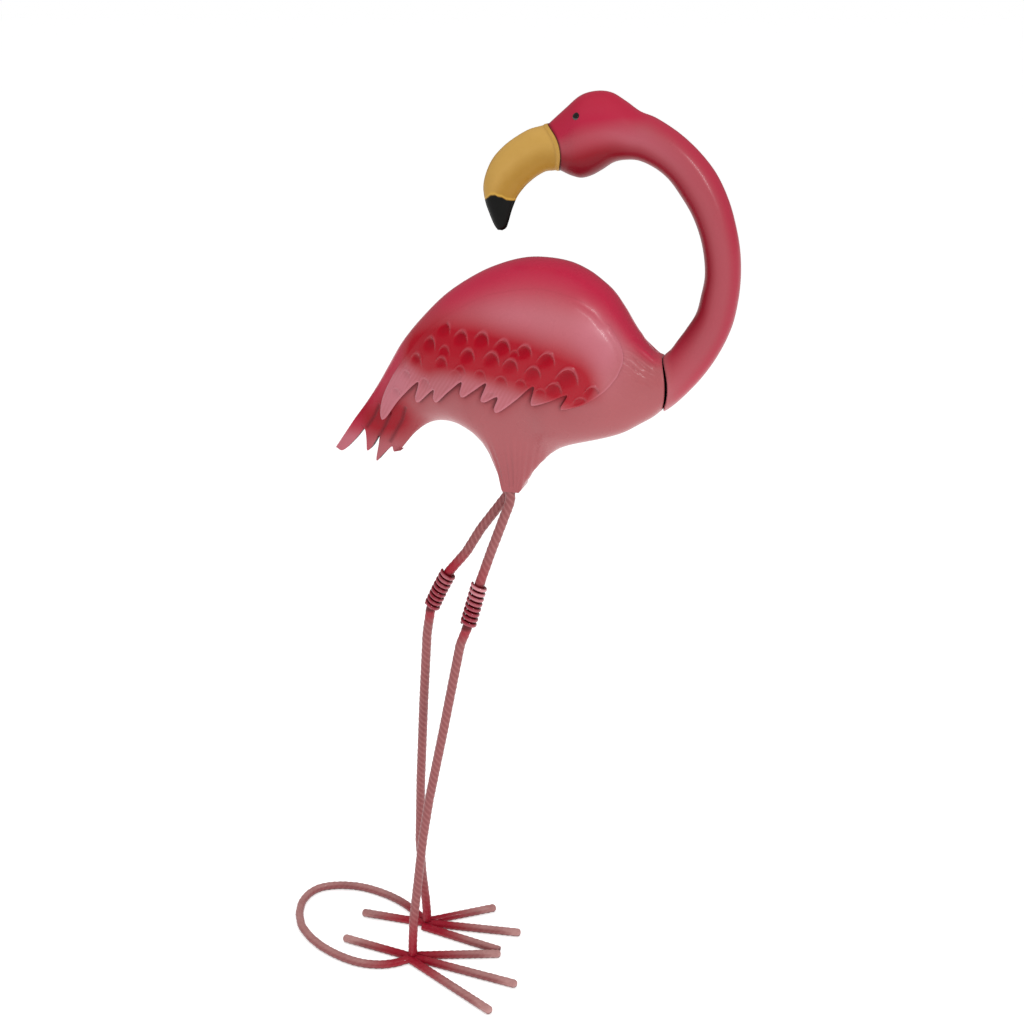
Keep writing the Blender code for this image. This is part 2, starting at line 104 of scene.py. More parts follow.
def smoothstep(low: float, high: float, value: Array) -> Array:
    """Rise softly from 0 at low to 1 at high.

    Args:
        low: where the rise starts.
        high: where it ends; it may lie below low, for a fall.
        value: the numbers to read.

    Returns:
        3t^2 - 2t^3 of the clipped share t of the way.
    """
    t = np.clip((np.asarray(value, dtype=float) - low) / (high - low), 0.0, 1.0)
    return t * t * (3.0 - 2.0 * t)


def bell(value: Array, reach: float) -> Array:
    """Give exp(-(value / reach)^2).

    Args:
        value: the numbers to read.
        reach: where the bell has fallen to 1 / e.

    Returns:
        1 at zero, falling to 0 on both sides.
    """
    return np.exp(-((value / reach) ** 2))


def unit(vectors: Array) -> Array:
    """Scale vectors to length 1.

    Args:
        vectors: any shape of vectors.

    Returns:
        The same shape.
    """
    return vectors / np.maximum(np.linalg.norm(vectors, axis=-1, keepdims=True), 1e-12)


def catmull(rows: Array, place: Array) -> Array:
    """Read a Catmull-Rom curve through rows of numbers.

    Args:
        rows: the control rows, one after the other.
        place: where to read, counted in rows from 0.

    Returns:
        The curve's numbers, in one more dimension than place.
    """
    rows = np.asarray(rows, dtype=float)
    padded = np.vstack([2 * rows[0] - rows[1], rows, 2 * rows[-1] - rows[-2]])
    place = np.asarray(place, dtype=float)
    index = np.clip(place.astype(int), 0, len(rows) - 2)
    t = (place - index)[..., None]
    a, b, c, d = (padded[index + k] for k in range(4))
    return 0.5 * (2 * b + (c - a) * t + (2 * a - 5 * b + 4 * c - d) * t**2 + (3 * b - a - 3 * c + d) * t**3)


def lengths(path: Array) -> Array:
    """Measure the way along a path to each of its points.

    Args:
        path: the path's points.

    Returns:
        One length a point, 0 at the first.
    """
    return np.r_[0.0, np.cumsum(np.linalg.norm(np.diff(path, axis=0), axis=1))]


def read_path(path: Array, at: Array) -> Array:
    """Read places on a broken line by the way along it.

    Args:
        path: the line's corners.
        at: ways along it, in any shape.

    Returns:
        Places in one more dimension than at.
    """
    way = lengths(path)
    return np.stack([np.interp(at, way, path[:, k]) for k in range(path.shape[1])], axis=-1)


def eased_path(points: Array, step: float, reach: float) -> Array:
    """Round the corners of a run of straight stretches.

    The run is read at an even step, and each point becomes the bell-weighted mean of its neighbours
    within reach. Beyond each end the run is mirrored through its end point, so the ends stay put.

    Args:
        points: the corners, in metres.
        step: distance between the new points.
        reach: how far the rounding reaches.

    Returns:
        The new points, evenly spaced.
    """
    points = np.asarray(points, dtype=float)
    total = lengths(points)[-1]
    count = max(int(total / step), 4)
    even = read_path(points, np.linspace(0.0, total, count + 1))
    half = min(max(int(reach / step), 1), count)
    weights = np.cos(np.linspace(-math.pi / 2, math.pi / 2, 2 * half + 3)[1:-1]) ** 2
    weights /= weights.sum()
    before = 2 * even[0] - even[half:0:-1]
    after = 2 * even[-1] - even[-2 : -half - 2 : -1]
    run = np.vstack([before, even, after])
    return np.stack([np.convolve(run[:, k], weights, mode="valid") for k in range(3)], axis=1)


def ring_normals(points: Array) -> Array:
    """Find the outward direction on closed rings: the unit cross of the steps along and around.

    Args:
        points: rings by places around by 3, with the right side first.

    Returns:
        One unit direction for each point.
    """
    around = np.roll(points, -1, axis=1) - np.roll(points, 1, axis=1)
    out = unit(np.cross(np.gradient(points, axis=0), around))
    flank = out[len(out) // 3, out.shape[1] // 4]
    return -out if flank[1] > 0.0 else out


def side_view(places: Array) -> Array:
    """Give the x and z of places in thousandths of the height."""
    return places[..., [0, 2]] / SHARE


def capped(rows: Array) -> Array:
    """Repeat the first and the last row, for the middle points that close a bar."""
    return np.concatenate([rows[:1], rows, rows[-1:]])


def near_line(spots: Array, line: Sequence[Point]) -> Array:
    """Measure how far spots are from a broken line.

    Args:
        spots: any shape of points.
        line: the line's corners.

    Returns:
        The least distance to any of its stretches.
    """
    best = np.full(spots.shape[:-1], 1e9)
    for start, end in zip(line[:-1], line[1:]):
        run = np.subtract(end, start)
        t = np.clip(((spots - start) @ run) / (run @ run), 0.0, 1.0)
        best = np.minimum(best, np.linalg.norm(spots - start - t[..., None] * run, axis=-1))
    return best


@dataclass(frozen=True)
class Spot:
    """A soft oval spot: the bell of the distance from its centre in its own half lengths."""

    centre: Point
    reach: Point
    turn: float = 0.0
    strength: float = 1.0

    def over(self, spots: Array) -> Array:
        """Read the spot at places.

        Args:
            spots: pairs in the spot's own plane, mostly x and z in thousandths.

        Returns:
            The strength in the middle, falling to 0.
        """
        d = spots - np.asarray(self.centre, dtype=float)
        c, s = math.cos(math.radians(self.turn)), math.sin(math.radians(self.turn))
        a = (d[..., 0] * c + d[..., 1] * s) / self.reach[0]
        b = (-d[..., 0] * s + d[..., 1] * c) / self.reach[1]
        return self.strength * np.exp(-(a * a + b * b))


@dataclass
class MeshPlan:
    """Collects grids of points into one closed mesh with numbers painted on its points."""

    paints: tuple[str, ...] = ()
    points: list[Array] = field(default_factory=list)
    masks: list[dict[str, Array]] = field(default_factory=list)
    quads: list[Array] = field(default_factory=list)
    slots: list[Array] = field(default_factory=list)
    size: int = 0

    def put(self, points: Array, **masks: Array) -> Array:
        """Add points.

        Args:
            points: any shape of xyz.
            masks: painted numbers of the same shape.

        Returns:
            The points' numbers, in the same shape.
        """
        flat = points.reshape(-1, 3)
        ids = np.arange(self.size, self.size + len(flat)).reshape(points.shape[:-1])
        self.points.append(flat)
        self.masks.append({k: np.broadcast_to(v, points.shape[:-1]).ravel() for k, v in masks.items()})
        self.size += len(flat)
        return ids

    def skin(self, ids: Array, wraps: bool = False, slot: int = 0) -> None:
        """Add the quads of a grid of point numbers.

        Args:
            ids: rows by columns.
            wraps: whether the columns go round and meet.
            slot: the material's place on the piece.
        """
        if wraps:
            ids = np.concatenate([ids, ids[:, :1]], axis=1)
        quads = np.stack([ids[:-1, :-1], ids[:-1, 1:], ids[1:, 1:], ids[1:, :-1]], axis=-1).reshape(-1, 4)
        self.quads.append(quads)
        self.slots.append(np.full(len(quads), slot))

    def lid(self, ring: Array, slot: int = 0) -> None:
        """Close a ring with quads from its first half to its second half.

        Args:
            ring: the ring's point numbers, down one side and up the other.
            slot: the material's place on the piece.
        """
        half = len(ring) // 2
        self.skin(np.stack([ring[:half], ring[half:][::-1]]), False, slot)

    def hollow(
        self, outer: Array, masks: dict[str, Array], inner: Array, end_slot: int = 0, **inner_masks: Array
    ) -> None:
        """Add a hollow form: two skins of rings, joined round the open end and closed at the far end.

        Args:
            outer: the outer skin's rings, the open end first.
            masks: its painted numbers.
            inner: the inner skin's rings, which wear the second material.
            end_slot: the material of the outer skin's far end.
            inner_masks: the inner skin's painted numbers.
        """
        ids = self.put(outer, **masks)
        self.skin(ids, True)
        inner_ids = self.put(inner, **inner_masks)
        self.skin(inner_ids, True, 1)
        self.skin(np.stack([ids[0], inner_ids[0]]), True)
        self.lid(ids[-1], end_slot)
        self.lid(inner_ids[-1], 1)

    def build(
        self, name: str, materials: Sequence[bpy.types.Material], sharp: float = 40.0
    ) -> bpy.types.Object:
        """Make the object, with its doubles merged and its faces turned outwards.

        Args:
            name: the piece's name.
            materials: its materials in the order of the slots.
            sharp: edges that bend more than this many degrees stay sharp.

        Returns:
            The new object, linked to the scene.
        """
        mesh = bpy.data.meshes.new(name)
        verts = np.concatenate(self.points)
        quads = np.concatenate(self.quads)
        mesh.vertices.add(len(verts))
        mesh.vertices.foreach_set("co", verts.astype(np.float32).ravel())
        mesh.loops.add(quads.size)
        mesh.loops.foreach_set("vertex_index", quads.astype(np.int32).ravel())
        mesh.polygons.add(len(quads))
        mesh.polygons.foreach_set("loop_start", np.arange(0, quads.size, 4, dtype=np.int32))
        mesh.polygons.foreach_set("material_index", np.concatenate(self.slots).astype(np.int32))
        mesh.update(calc_edges=True)
        for paint in self.paints:
            layer = mesh.attributes.new(paint, "FLOAT", "POINT")
            parts = [m.get(paint, np.zeros(len(p))) for m, p in zip(self.masks, self.points)]
            layer.data.foreach_set("value", np.concatenate(parts).astype(np.float32))
        work = bmesh.new()
        work.from_mesh(mesh)
        bmesh.ops.remove_doubles(work, verts=work.verts, dist=2e-6)
        bmesh.ops.dissolve_degenerate(work, edges=work.edges, dist=1e-7)
        bmesh.ops.recalc_face_normals(work, faces=work.faces)
        work.to_mesh(mesh)
        work.free()
        for material in materials:
            mesh.materials.append(material)
        mesh.shade_smooth()
        mesh.set_sharp_from_angle(angle=math.radians(sharp))
        piece = bpy.data.objects.new(name, mesh)
        bpy.context.scene.collection.objects.link(piece)
        return piece


def install(piece: bpy.types.Object, node: str) -> bpy.types.Object:
    """Let a piece stand for its solid and move with the body.

    Args:
        piece: the new piece.
        node: the solid's name.

    Returns:
        The same piece.
    """
    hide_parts(node)
    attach(piece, "root")
    return piece


@dataclass(frozen=True)
class Loft:
    """A form through sections: each an oval between a top and a bottom point in the side view.

    A section's numbers are top x and z, bottom x and z, half width, bow towards +X, thigh half width,
    and the share of its height that the round belly takes.
    """

    sections: tuple[tuple[float, ...], ...]
    keel: float = 1.2
    keel_start: float = 0.5
    keel_reach: float = 0.3
    flare: float = 1.6
    thigh_start: float = 0.35
    thigh_reach: float = 0.4
    least_half: float = 0.0002
    net: tuple[int, int] = (90, 45)
    net_down: Point = (0.03, 0.85)
    longest_move: Point = (0.02, 0.03)

    def rows(self) -> Array:
        """Fill in the numbers that short sections leave out."""
        full = (0.0, 0.0, 0.0, 0.0, 0.0, 0.0, 0.0, 1.0)
        return np.array([tuple(s) + full[len(s) :] for s in self.sections])

    def width(self, row: Array, v: Array) -> Array:
        """Half width: the cube root of the summed cubes of belly, keel and thigh.

        Args:
            row: the section's numbers.
            v: share of the way down.

        Returns:
            Half widths in thousandths.
        """
        half, thigh, belly = row[..., 4], np.maximum(row[..., 6], 0.0), row[..., 7]
        body = np.clip(v / belly, 0.0, 1.0)
        ellipse = half * 2.0 * np.sqrt(np.clip(body * (1.0 - body), 0.0, 0.25))
        drop = smoothstep(self.keel_start, self.keel_start + self.keel_reach, v)
        keel = self.keel * half * (1.0 - v) * drop
        rise = smoothstep(self.thigh_start, self.thigh_start + self.thigh_reach, v)
        slab = thigh * (1.0 + self.flare * (1.0 - v)) * rise
        return np.cbrt(ellipse**3 + keel**3 + slab**3)

    def at(self, u: Array, v: Array, sign: Array, inset: Array | float = 0.0) -> Array:
        """Places on the form.

        Args:
            u: share of the way through the sections.
            v: share of the way from the top to the bottom.
            sign: -1 on the right side and +1 on the left.
            inset: how far inside the outer surface.

        Returns:
            Places in metres.
        """
        row = catmull(self.rows(), np.asarray(u) * (len(self.sections) - 1))
        inset = np.broadcast_to(inset, np.shape(u))
        top = row[..., 0:2] * SHARE
        bottom = row[..., 2:4] * SHARE
        along = unit(bottom - top)
        lean = np.where(row[..., 1] > row[..., 3], 1.0, -1.0)
        side = np.maximum(self.width(row, v) * SHARE, FLANGE_HALF)
        bow = row[..., 5] * SHARE * (side / (row[..., 4] * SHARE)) ** 2 * lean
        first = top + along * inset[..., None]
        last = bottom - along * inset[..., None]
        middle = first + (last - first) * np.asarray(v)[..., None]
        x = middle[..., 0] - along[..., 1] * bow
        z = np.maximum(middle[..., 1] + along[..., 0] * bow, THIGH_Z * SHARE + inset)
        return np.stack([x, sign * np.maximum(side - inset, self.least_half), z], axis=-1)

    def outward(self, u: Array, v: Array, step: float = 1e-3) -> Array:
        """Outward directions on the right side, from differences of near places.

        Args:
            u: share of the way through the sections.
            v: share of the way down.
            step: how far apart the near places are.

        Returns:
            Unit directions.
        """
        minus = -np.ones_like(u)
        low_u, high_u = np.clip(u - step, 0.0, 1.0), np.clip(u + step, 0.0, 1.0)
        low_v, high_v = np.clip(v - step, 0.0, 1.0), np.clip(v + step, 0.0, 1.0)
        along = self.at(high_u, v, minus) - self.at(low_u, v, minus)
        down = self.at(u, high_v, minus) - self.at(u, low_v, minus)
        out = unit(np.cross(down, along))
        return np.where(out[..., 1:2] > 0.0, -out, out)

    def rings(self, u: Array, steps: int, inset: Array | float = 0.0) -> tuple[Array, Array]:
        """Closed rings of places, down the right side and up the left.

        Args:
            u: where the rings are.
            steps: steps down each side.
            inset: how far inside the outer surface, one for all or one a ring.

        Returns:
            The places, and the share of the way down at each.
        """
        v = (1.0 - np.cos(np.linspace(0.0, math.pi, steps + 1))) / 2.0
        around = np.r_[v, v[::-1]]
        sign = np.r_[-np.ones(steps + 1), np.ones(steps + 1)]
        uu, vv = np.meshgrid(u, around, indexing="ij")
        deep = np.broadcast_to(np.reshape(inset, (-1, 1)), uu.shape)
        return self.at(uu, vv, np.broadcast_to(sign, uu.shape), deep), vv

    def find(self, spots: Array, rounds: int = 12) -> tuple[Array, Array]:
        """Find the surface's two parameters at places of the side view.

        A coarse net gives a first guess, and damped Newton steps on the side view's x and z mend it.

        Args:
            spots: x and z in thousandths.
            rounds: Newton steps.

        Returns:
            Shares through the sections and down.
        """
        along, down = np.linspace(0.0, 1.0, self.net[0]), np.linspace(*self.net_down, self.net[1])
        net_u, net_v = np.meshgrid(along, down, indexing="ij")
        net = side_view(self.at(net_u, net_v, -np.ones_like(net_u))).reshape(-1, 2)
        flat = spots.reshape(-1, 2)
        parts = np.array_split(flat, 60)
        nearest = [np.argmin(((part[:, None] - net) ** 2).sum(axis=-1), axis=1) for part in parts]
        nearest = np.concatenate(nearest)
        u, v = net_u.ravel()[nearest], net_v.ravel()[nearest]
        minus, step = -np.ones_like(u), 1e-4
        for _ in range(rounds):
            here = side_view(self.at(u, v, minus))
            du = (side_view(self.at(u + step, v, minus)) - here) / step
            dv = (side_view(self.at(u, v + step, minus)) - here) / step
            miss = flat - here
            area = du[:, 0] * dv[:, 1] - du[:, 1] * dv[:, 0]
            area = np.where(np.abs(area) < 1e-3, 1e-3, area)
            move_u = (miss[:, 0] * dv[:, 1] - miss[:, 1] * dv[:, 0]) / area
            move_v = (du[:, 0] * miss[:, 1] - du[:, 1] * miss[:, 0]) / area
            u = np.clip(u + np.clip(move_u, -self.longest_move[0], self.longest_move[0]), 0.0, 0.999)
            v = np.clip(v + np.clip(move_v, -self.longest_move[1], self.longest_move[1]), 0.005, 0.95)
        return u.reshape(spots.shape[:-1]), v.reshape(spots.shape[:-1])


BODY = Loft(
    (
        (-143, 662, -91, 633, 6.5),
        (-128, 682, -74, 653, 12),
        (-114, 703, -55, 666, 19),
        (-102, 723, -34, 668, 27, 0, 0, 0.98),
        (-84, 752, -14, 661, 37, 0, 0, 0.95),
        (-61, 779, 2, 645, 46, 0, 0, 0.90),
        (-36, 803, 15, 624, 53, 0, 7, 0.85),
        (-6, 823, 24, 602, 57, 0, 13, 0.79),
        (20, 835, 29, 595, 59, 0, 13, 0.76),
        (45, 842, 38, 595, 60, 0, 13, 0.75),
        (68, 843, 45, 603, 60, 0, 13, 0.76),
        (90, 840, 53, 616, 59, 0, 7, 0.82),
        (108, 833, 65.5, 632, 57, 0, 2, 0.92),
        (122, 824, 82, 648, 54),
        (135, 813, 106, 656, 49),
        (147, 797, 131, 664, 43),
        (156.5, 782, 150, 671.5, 37, 1),
        (167.5, 767, 166, 681.5, 32, 3),
        (177.5, 757, 179, 690, 29, 5),
        (184.5, 753.5, 186.8, 697, 27.5, 6),
        (186.3, 752, 188.7, 699, 26, 6),
    )
)
NECK = Loft(
    (
        (187.0, 752, 189.4, 699, 26, 8),
        (188.6, 754.6, 191.2, 697.4, 27.5, 8),
        (194, 760, 204, 708, 25, 4),
        (200, 769, 224, 731, 21.5, 1),
        (208, 781, 240, 756, 19.5),
        (217, 797, 251.5, 783, 19),
        (221, 815, 256.5, 808, 18.5),
        (223.5, 833, 258, 833, 18),
        (221.5, 853, 256, 858, 18),
        (216.5, 872, 250.5, 882, 18.5),
        (208.5, 890, 242.5, 905, 18.5),
        (198, 906, 230.5, 927.5, 19),
        (186, 921, 214.5, 946.5, 19),
        (173, 931, 194.5, 963.5, 19.5),
        (158, 937.5, 172, 977, 20.5),
        (146, 938.5, 156, 983, 22),
        (133, 936, 142, 992, 24.5),
        (121, 928.5, 128, 999.5, 27),
        (111, 923, 113, 1000.5, 28.5),
        (101, 920.5, 98.5, 996, 28, 2),
        (91, 922.5, 84, 984, 25, 6),
        (80.5, 926.8, 68.3, 970.2, 20.3, 10),
    )
)
BEAK = Loft(
    (
        (67.8, 970.2, 80, 926.8, 20.3, 10),
        (58.5, 967.8, 73, 926, 18.9, 8),
        (49, 965, 66, 925, 17.5, 6),
        (37, 958.5, 57.5, 920.5, 15.5, 3),
        (25, 950, 49.5, 914.5, 13.5),
        (14, 938.5, 43, 908.5, 12),
        (6.5, 925, 37, 900.5, 10.5),
        (2.7, 910, 33, 891.5, 9),
        (4.5, 895.5, 30.5, 884.5, 7.5),
        (8.8, 883.5, 28.3, 877, 6),
        (13.5, 873, 25.8, 870.3, 4),
        (17.4, 867.8, 21.8, 867.5, 2),
    )
)
WING_EDGE = (
    (140, 783), (149, 769), (153.5, 754), (149, 738), (137, 723), (119, 710.5), (100, 704.3),
    (96.5, 707.5), (102.7, 720.5), (86, 713.5), (71, 708.3), (67.5, 711), (71, 728.5), (52, 712.5),
    (33.5, 698.2), (29, 701), (34, 714.7), (20.5, 708), (16.5, 711), (23.4, 728), (10, 719),
    (-1.5, 711), (-5.5, 714.5), (-3, 726.5), (-18.5, 714), (-34, 700.3), (-38.5, 703.5), (-37, 713),
    (-57.5, 695.8), (-61.5, 699.5), (-55.5, 718), (-82, 694), (-102.5, 669.5), (-107.5, 672.5),
    (-102.5, 693), (-90, 716), (-77, 735),
)
WING_CREST = (
    (134, 789), (125, 799), (110, 809), (91, 815), (69, 819), (43, 816), (17, 809), (-9, 796),
    (-33, 781), (-53, 764), (-68, 746),
)


@dataclass(frozen=True)
class Sock:
    """A shader socket that adds Math nodes for the sums written with it."""

    tree: bpy.types.NodeTree
    link: bpy.types.NodeSocket

    def _math(self, operation: str, *values: Value) -> "Sock":
        """Add one Math node.

        Args:
            operation: the node's operation.
            values: its inputs, sockets or numbers.

        Returns:
            The node's result.
        """
        node = self.tree.nodes.new("ShaderNodeMath")
        node.operation = operation
        for socket, value in zip(node.inputs, values):
            feed(self.tree, socket, value)
        return Sock(self.tree, node.outputs[0])

    def __add__(self, other: Value) -> "Sock":
        """Add."""
        return self._math("ADD", self, other)

    def __radd__(self, other: Value) -> "Sock":
        """Add to a number."""
        return self._math("ADD", other, self)

    def __sub__(self, other: Value) -> "Sock":
        """Take away."""
        return self._math("SUBTRACT", self, other)

    def __rsub__(self, other: Value) -> "Sock":
        """Take from a number."""
        return self._math("SUBTRACT", other, self)

    def __mul__(self, other: Value) -> "Sock":
        """Multiply."""
        return self._math("MULTIPLY", self, other)

    def __rmul__(self, other: Value) -> "Sock":
        """Multiply a number."""
        return self._math("MULTIPLY", other, self)

    def held(self) -> "Sock":
        """Clip to 0..1."""
        return self._math("MINIMUM", self._math("MAXIMUM", self, 0.0), 1.0)


def feed(tree: bpy.types.NodeTree, socket: bpy.types.NodeSocket, value: Value) -> None:
    """Link a socket or set its number, colour or vector.

    Args:
        tree: the node tree.
        socket: the input to feed.
        value: a socket, a number, or a row of numbers.
    """
    if isinstance(value, Sock):
        tree.links.new(value.link, socket)
    elif isinstance(value, (int, float)):
        socket.default_value = float(value)
    else:
        row = tuple(value)
        socket.default_value = (*row, 1.0) if len(socket.default_value) == 4 and len(row) == 3 else row


@dataclass
class Mixer:
    """A material or a world under construction."""

    owner: bpy.types.Material | bpy.types.World

    def __post_init__(self) -> None:
        """Turn its nodes on."""
        self.owner.use_nodes = True

    @classmethod
    def start(cls, name: str) -> "Mixer":
        """Start a new material."""
        return cls(bpy.data.materials.new(name))

    @property
    def tree(self) -> bpy.types.NodeTree:
        """Give the node tree."""
        return self.owner.node_tree

    def fill(self, node: bpy.types.Node, inputs: dict[str | int, Value]) -> None:
        """Feed a node's sockets, found by their names or places."""
        for key, value in inputs.items():
            feed(self.tree, node.inputs[key], value)

    def node(
        self, kind: str, settings: dict[str, Any], inputs: dict[str | int, Value], output: str | int = 0
    ) -> Sock:
        """Add any node.

        Args:
            kind: the node's type.
            settings: its own settings, set first.
            inputs: values for its sockets, by name or place.
            output: the name or place of the output wanted.

        Returns:
            The output's socket.
        """
        made = self.tree.nodes.new(kind)
        for key, value in settings.items():
            setattr(made, key, value)
        self.fill(made, inputs)
        return Sock(self.tree, made.outputs[output])

    def paint(self, name: str) -> Sock:
        """Read a number painted on the mesh."""
        return self.node("ShaderNodeAttribute", {"attribute_name": name}, {}, "Fac")

    def noise(self, scale: float, detail: float = 2.0, rough: float = 0.5) -> Sock:
        """Add noise on the object's own frame, with scale in cycles a metre."""
        place = self.node("ShaderNodeTexCoord", {}, {}, "Object")
        values = {"Vector": place, "Scale": scale, "Detail": detail, "Roughness": rough}
        return self.node("ShaderNodeTexNoise", {}, values, "Fac")

    def spread(self, value: Sock, low: float, high: float) -> Sock:
        """Map 0..1 to the range from low to high."""
        return self.node("ShaderNodeMapRange", {}, {"Value": value, "To Min": low, "To Max": high}, "Result")

    def blend(self, amount: Value, under: Value, over: Value, mode: str = "MIX") -> Sock:
        """Lay one colour over another.

        Args:
            amount: how much of the upper one.
            under: the lower colour.
            over: the upper colour.
            mode: the way they mix.

        Returns:
            The mixed colour.
        """
        settings = {"data_type": "RGBA", "blend_type": mode}
        return self.node("ShaderNodeMix", settings, {"Factor": amount, 6: under, 7: over}, 2)

    def shaded(self, colour: Value, tone: Sock) -> Sock:
        """Multiply a colour by a grey tone."""
        grey = self.node("ShaderNodeCombineXYZ", {}, {"X": tone, "Y": tone, "Z": tone})
        return self.blend(1.0, colour, grey, "MULTIPLY")

    def bump(self, height: Sock, strength: float, distance: float) -> Sock:
        """Turn a height into a bumped normal."""
        values = {"Strength": strength, "Distance": distance, "Height": height}
        return self.node("ShaderNodeBump", {}, values, "Normal")

    def dress(self, **sockets: Value) -> bpy.types.Material:
        """Feed the shader's sockets, with _ for a space, and give the material."""
        shader = self.tree.nodes["Principled BSDF"]
        self.fill(shader, {key.replace("_", " "): value for key, value in sockets.items()})
        return self.owner


PAINT_LAYER_NAMES = ("pale", "deep", "red", "dark")


@dataclass(frozen=True)
class EnamelAndPaintedLight:
    """Glossy enamel sprayed over sheet: a base colour under pale, deep rose, red and dark layers. The pale
    layer is partly painted highlight and reflection, and the dark one partly painted shade.
    """

    name: str = "enamel_and_painted_light"
    base: Colour = (0.385, 0.098, 0.108)
    # pale is paler paint and also a painted highlight and reflection; dark is darker paint and also a painted
    # shade
    pale: Colour = (0.49, 0.150, 0.185)
    deep: Colour = (0.45, 0.020, 0.055)
    red: Colour = (0.36, 0.0005, 0.011)
    dark: Colour = (0.085, 0.003, 0.008)
    roughness: float = 0.27
    coat: float = 0.07
    specular: float = 0.15

    def sprayed(self, mix: Mixer, name: str, cloud: Sock) -> Sock:
        """Read a layer's mask and cloud its edge where it is neither full nor empty."""
        mask = mix.paint(name)
        return (mask + mask * (1.0 - mask) * (cloud - 0.5) * 0.7).held()

    def material(self) -> bpy.types.Material:
        """Lay the layers, painted shade and highlight among them, one over the other under an orange-peel
        gloss.
        """
        mix = Mixer.start(self.name)
        cloud = mix.noise(26.0, 3.0, 0.55)
        grain = mix.noise(520.0, 2.0, 0.6)
        colour: Value = self.base
        for name in PAINT_LAYER_NAMES:
            colour = mix.blend(self.sprayed(mix, name, cloud), colour, getattr(self, name))
        tone = mix.spread(cloud, 0.93, 1.06) * mix.spread(grain, 0.975, 1.025)
        height = mix.noise(260.0) * 0.25 + mix.noise(48.0)
        rough = self.roughness + (cloud - 0.5) * 0.10 + mix.paint("dark") * 0.12
        return mix.dress(
            Base_Color=mix.shaded(colour, tone),
            Roughness=rough,
            Coat_Weight=self.coat,
            Coat_Roughness=0.10,
            Specular_IOR_Level=self.specular,
            Normal=mix.bump(height, 0.12, 0.0010),
        )


@dataclass(frozen=True)
class BeakEnamel:
    """Mustard enamel, deeper below, with a thin light lip above the black tip."""

    name: str = "beak_enamel"
    light: Colour = (0.50, 0.290, 0.070)
    low: Colour = (0.355, 0.180, 0.020)
    lip: Colour = (0.60, 0.35, 0.06)
    black: Colour = (0.002, 0.0018, 0.0015)
    joint: Colour = (0.10, 0.02, 0.01)

    def material(self) -> bpy.types.Material:
        """Blend the two ochres by the painted shade, then the lip, the dark joint and the black tip."""
        mix = Mixer.start(self.name)
        cloud = mix.noise(90.0, 3.0, 0.6)
        shade = (mix.paint("shade") + (cloud - 0.5) * 0.35).held()
        colour = mix.blend(shade, self.light, self.low)
        for name in ("lip", "joint", "black"):
            colour = mix.blend(mix.paint(name), colour, getattr(self, name))
        height = mix.noise(420.0) * 0.3 + mix.noise(75.0)
        rough = 0.42 + (cloud - 0.5) * 0.12
        return mix.dress(
            Base_Color=colour,
            Roughness=rough,
            Coat_Weight=0.04,
            Specular_IOR_Level=0.12,
            Normal=mix.bump(height, 0.16, 0.0008),
        )


@dataclass(frozen=True)
class BarEnamel:
    """Enamel brushed over ribbed bar: dusty pink with paler rib tops as painted highlight and darker grooves
    as painted shade, red where it was sprayed.
    """

    name: str = "bar_enamel"
    base: Colour = (0.310, 0.092, 0.094)
    # crest: paler rib tops as painted highlight; the groove colour: darker grooves as painted shade
    crest: Colour = (0.38, 0.138, 0.136)
    groove_shade: Colour = (0.225, 0.055, 0.057)
    red: Colour = (0.33, 0.006, 0.022)
    # tip: pale bar ends, and a painted highlight on top of ground bars
    tip: Colour = (0.52, 0.27, 0.255)
    # low: painted shade on the underside of ground bars
    low: Colour = (0.090, 0.016, 0.014)
    # dark: painted shade on the bar under the coil
    dark: Colour = (0.13, 0.001, 0.006)

    def material(self) -> bpy.types.Material:
        """Darken the grooves as painted shade and lighten the rib crests as painted highlight, then lay the
        pale tips with the painted highlight on top, the red, the painted shade below and the painted shade
        under the coil over them.
        """
        mix = Mixer.start(self.name)
        cloud = mix.noise(60.0, 3.0, 0.6)
        grain = mix.noise(700.0, 3.0, 0.65)
        rib = mix.paint("rib")
        # painted shade in the grooves, then a painted highlight on the rib crests
        colour = mix.blend(((1.0 - rib) * 0.55 + (cloud - 0.5) * 0.6).held(), self.base, self.groove_shade)
        colour = mix.blend((rib * 0.9 + (grain - 0.5) * 0.6).held() * rib, colour, self.crest)
        colour = mix.blend((mix.paint("tip") * (0.8 + (cloud - 0.5) * 1.2)).held(), colour, self.tip)
        red = mix.paint("red")
        colour = mix.blend((red + red * (cloud - 0.5) * 0.6).held(), colour, self.red)
        # painted shade under ground bars and under the coil
        colour = mix.blend((mix.paint("low") * (0.9 + (grain - 0.5) * 1.6)).held(), colour, self.low)
        colour = mix.blend(mix.paint("dark"), colour, self.dark)
        height = grain * 0.5 + mix.noise(150.0)
        rough = 0.40 + (grain - 0.5) * 0.2
        return mix.dress(
            Base_Color=colour,
            Roughness=rough,
            Coat_Weight=0.08,
            Specular_IOR_Level=0.25,
            Normal=mix.bump(height, 0.22, 0.0006),
        )


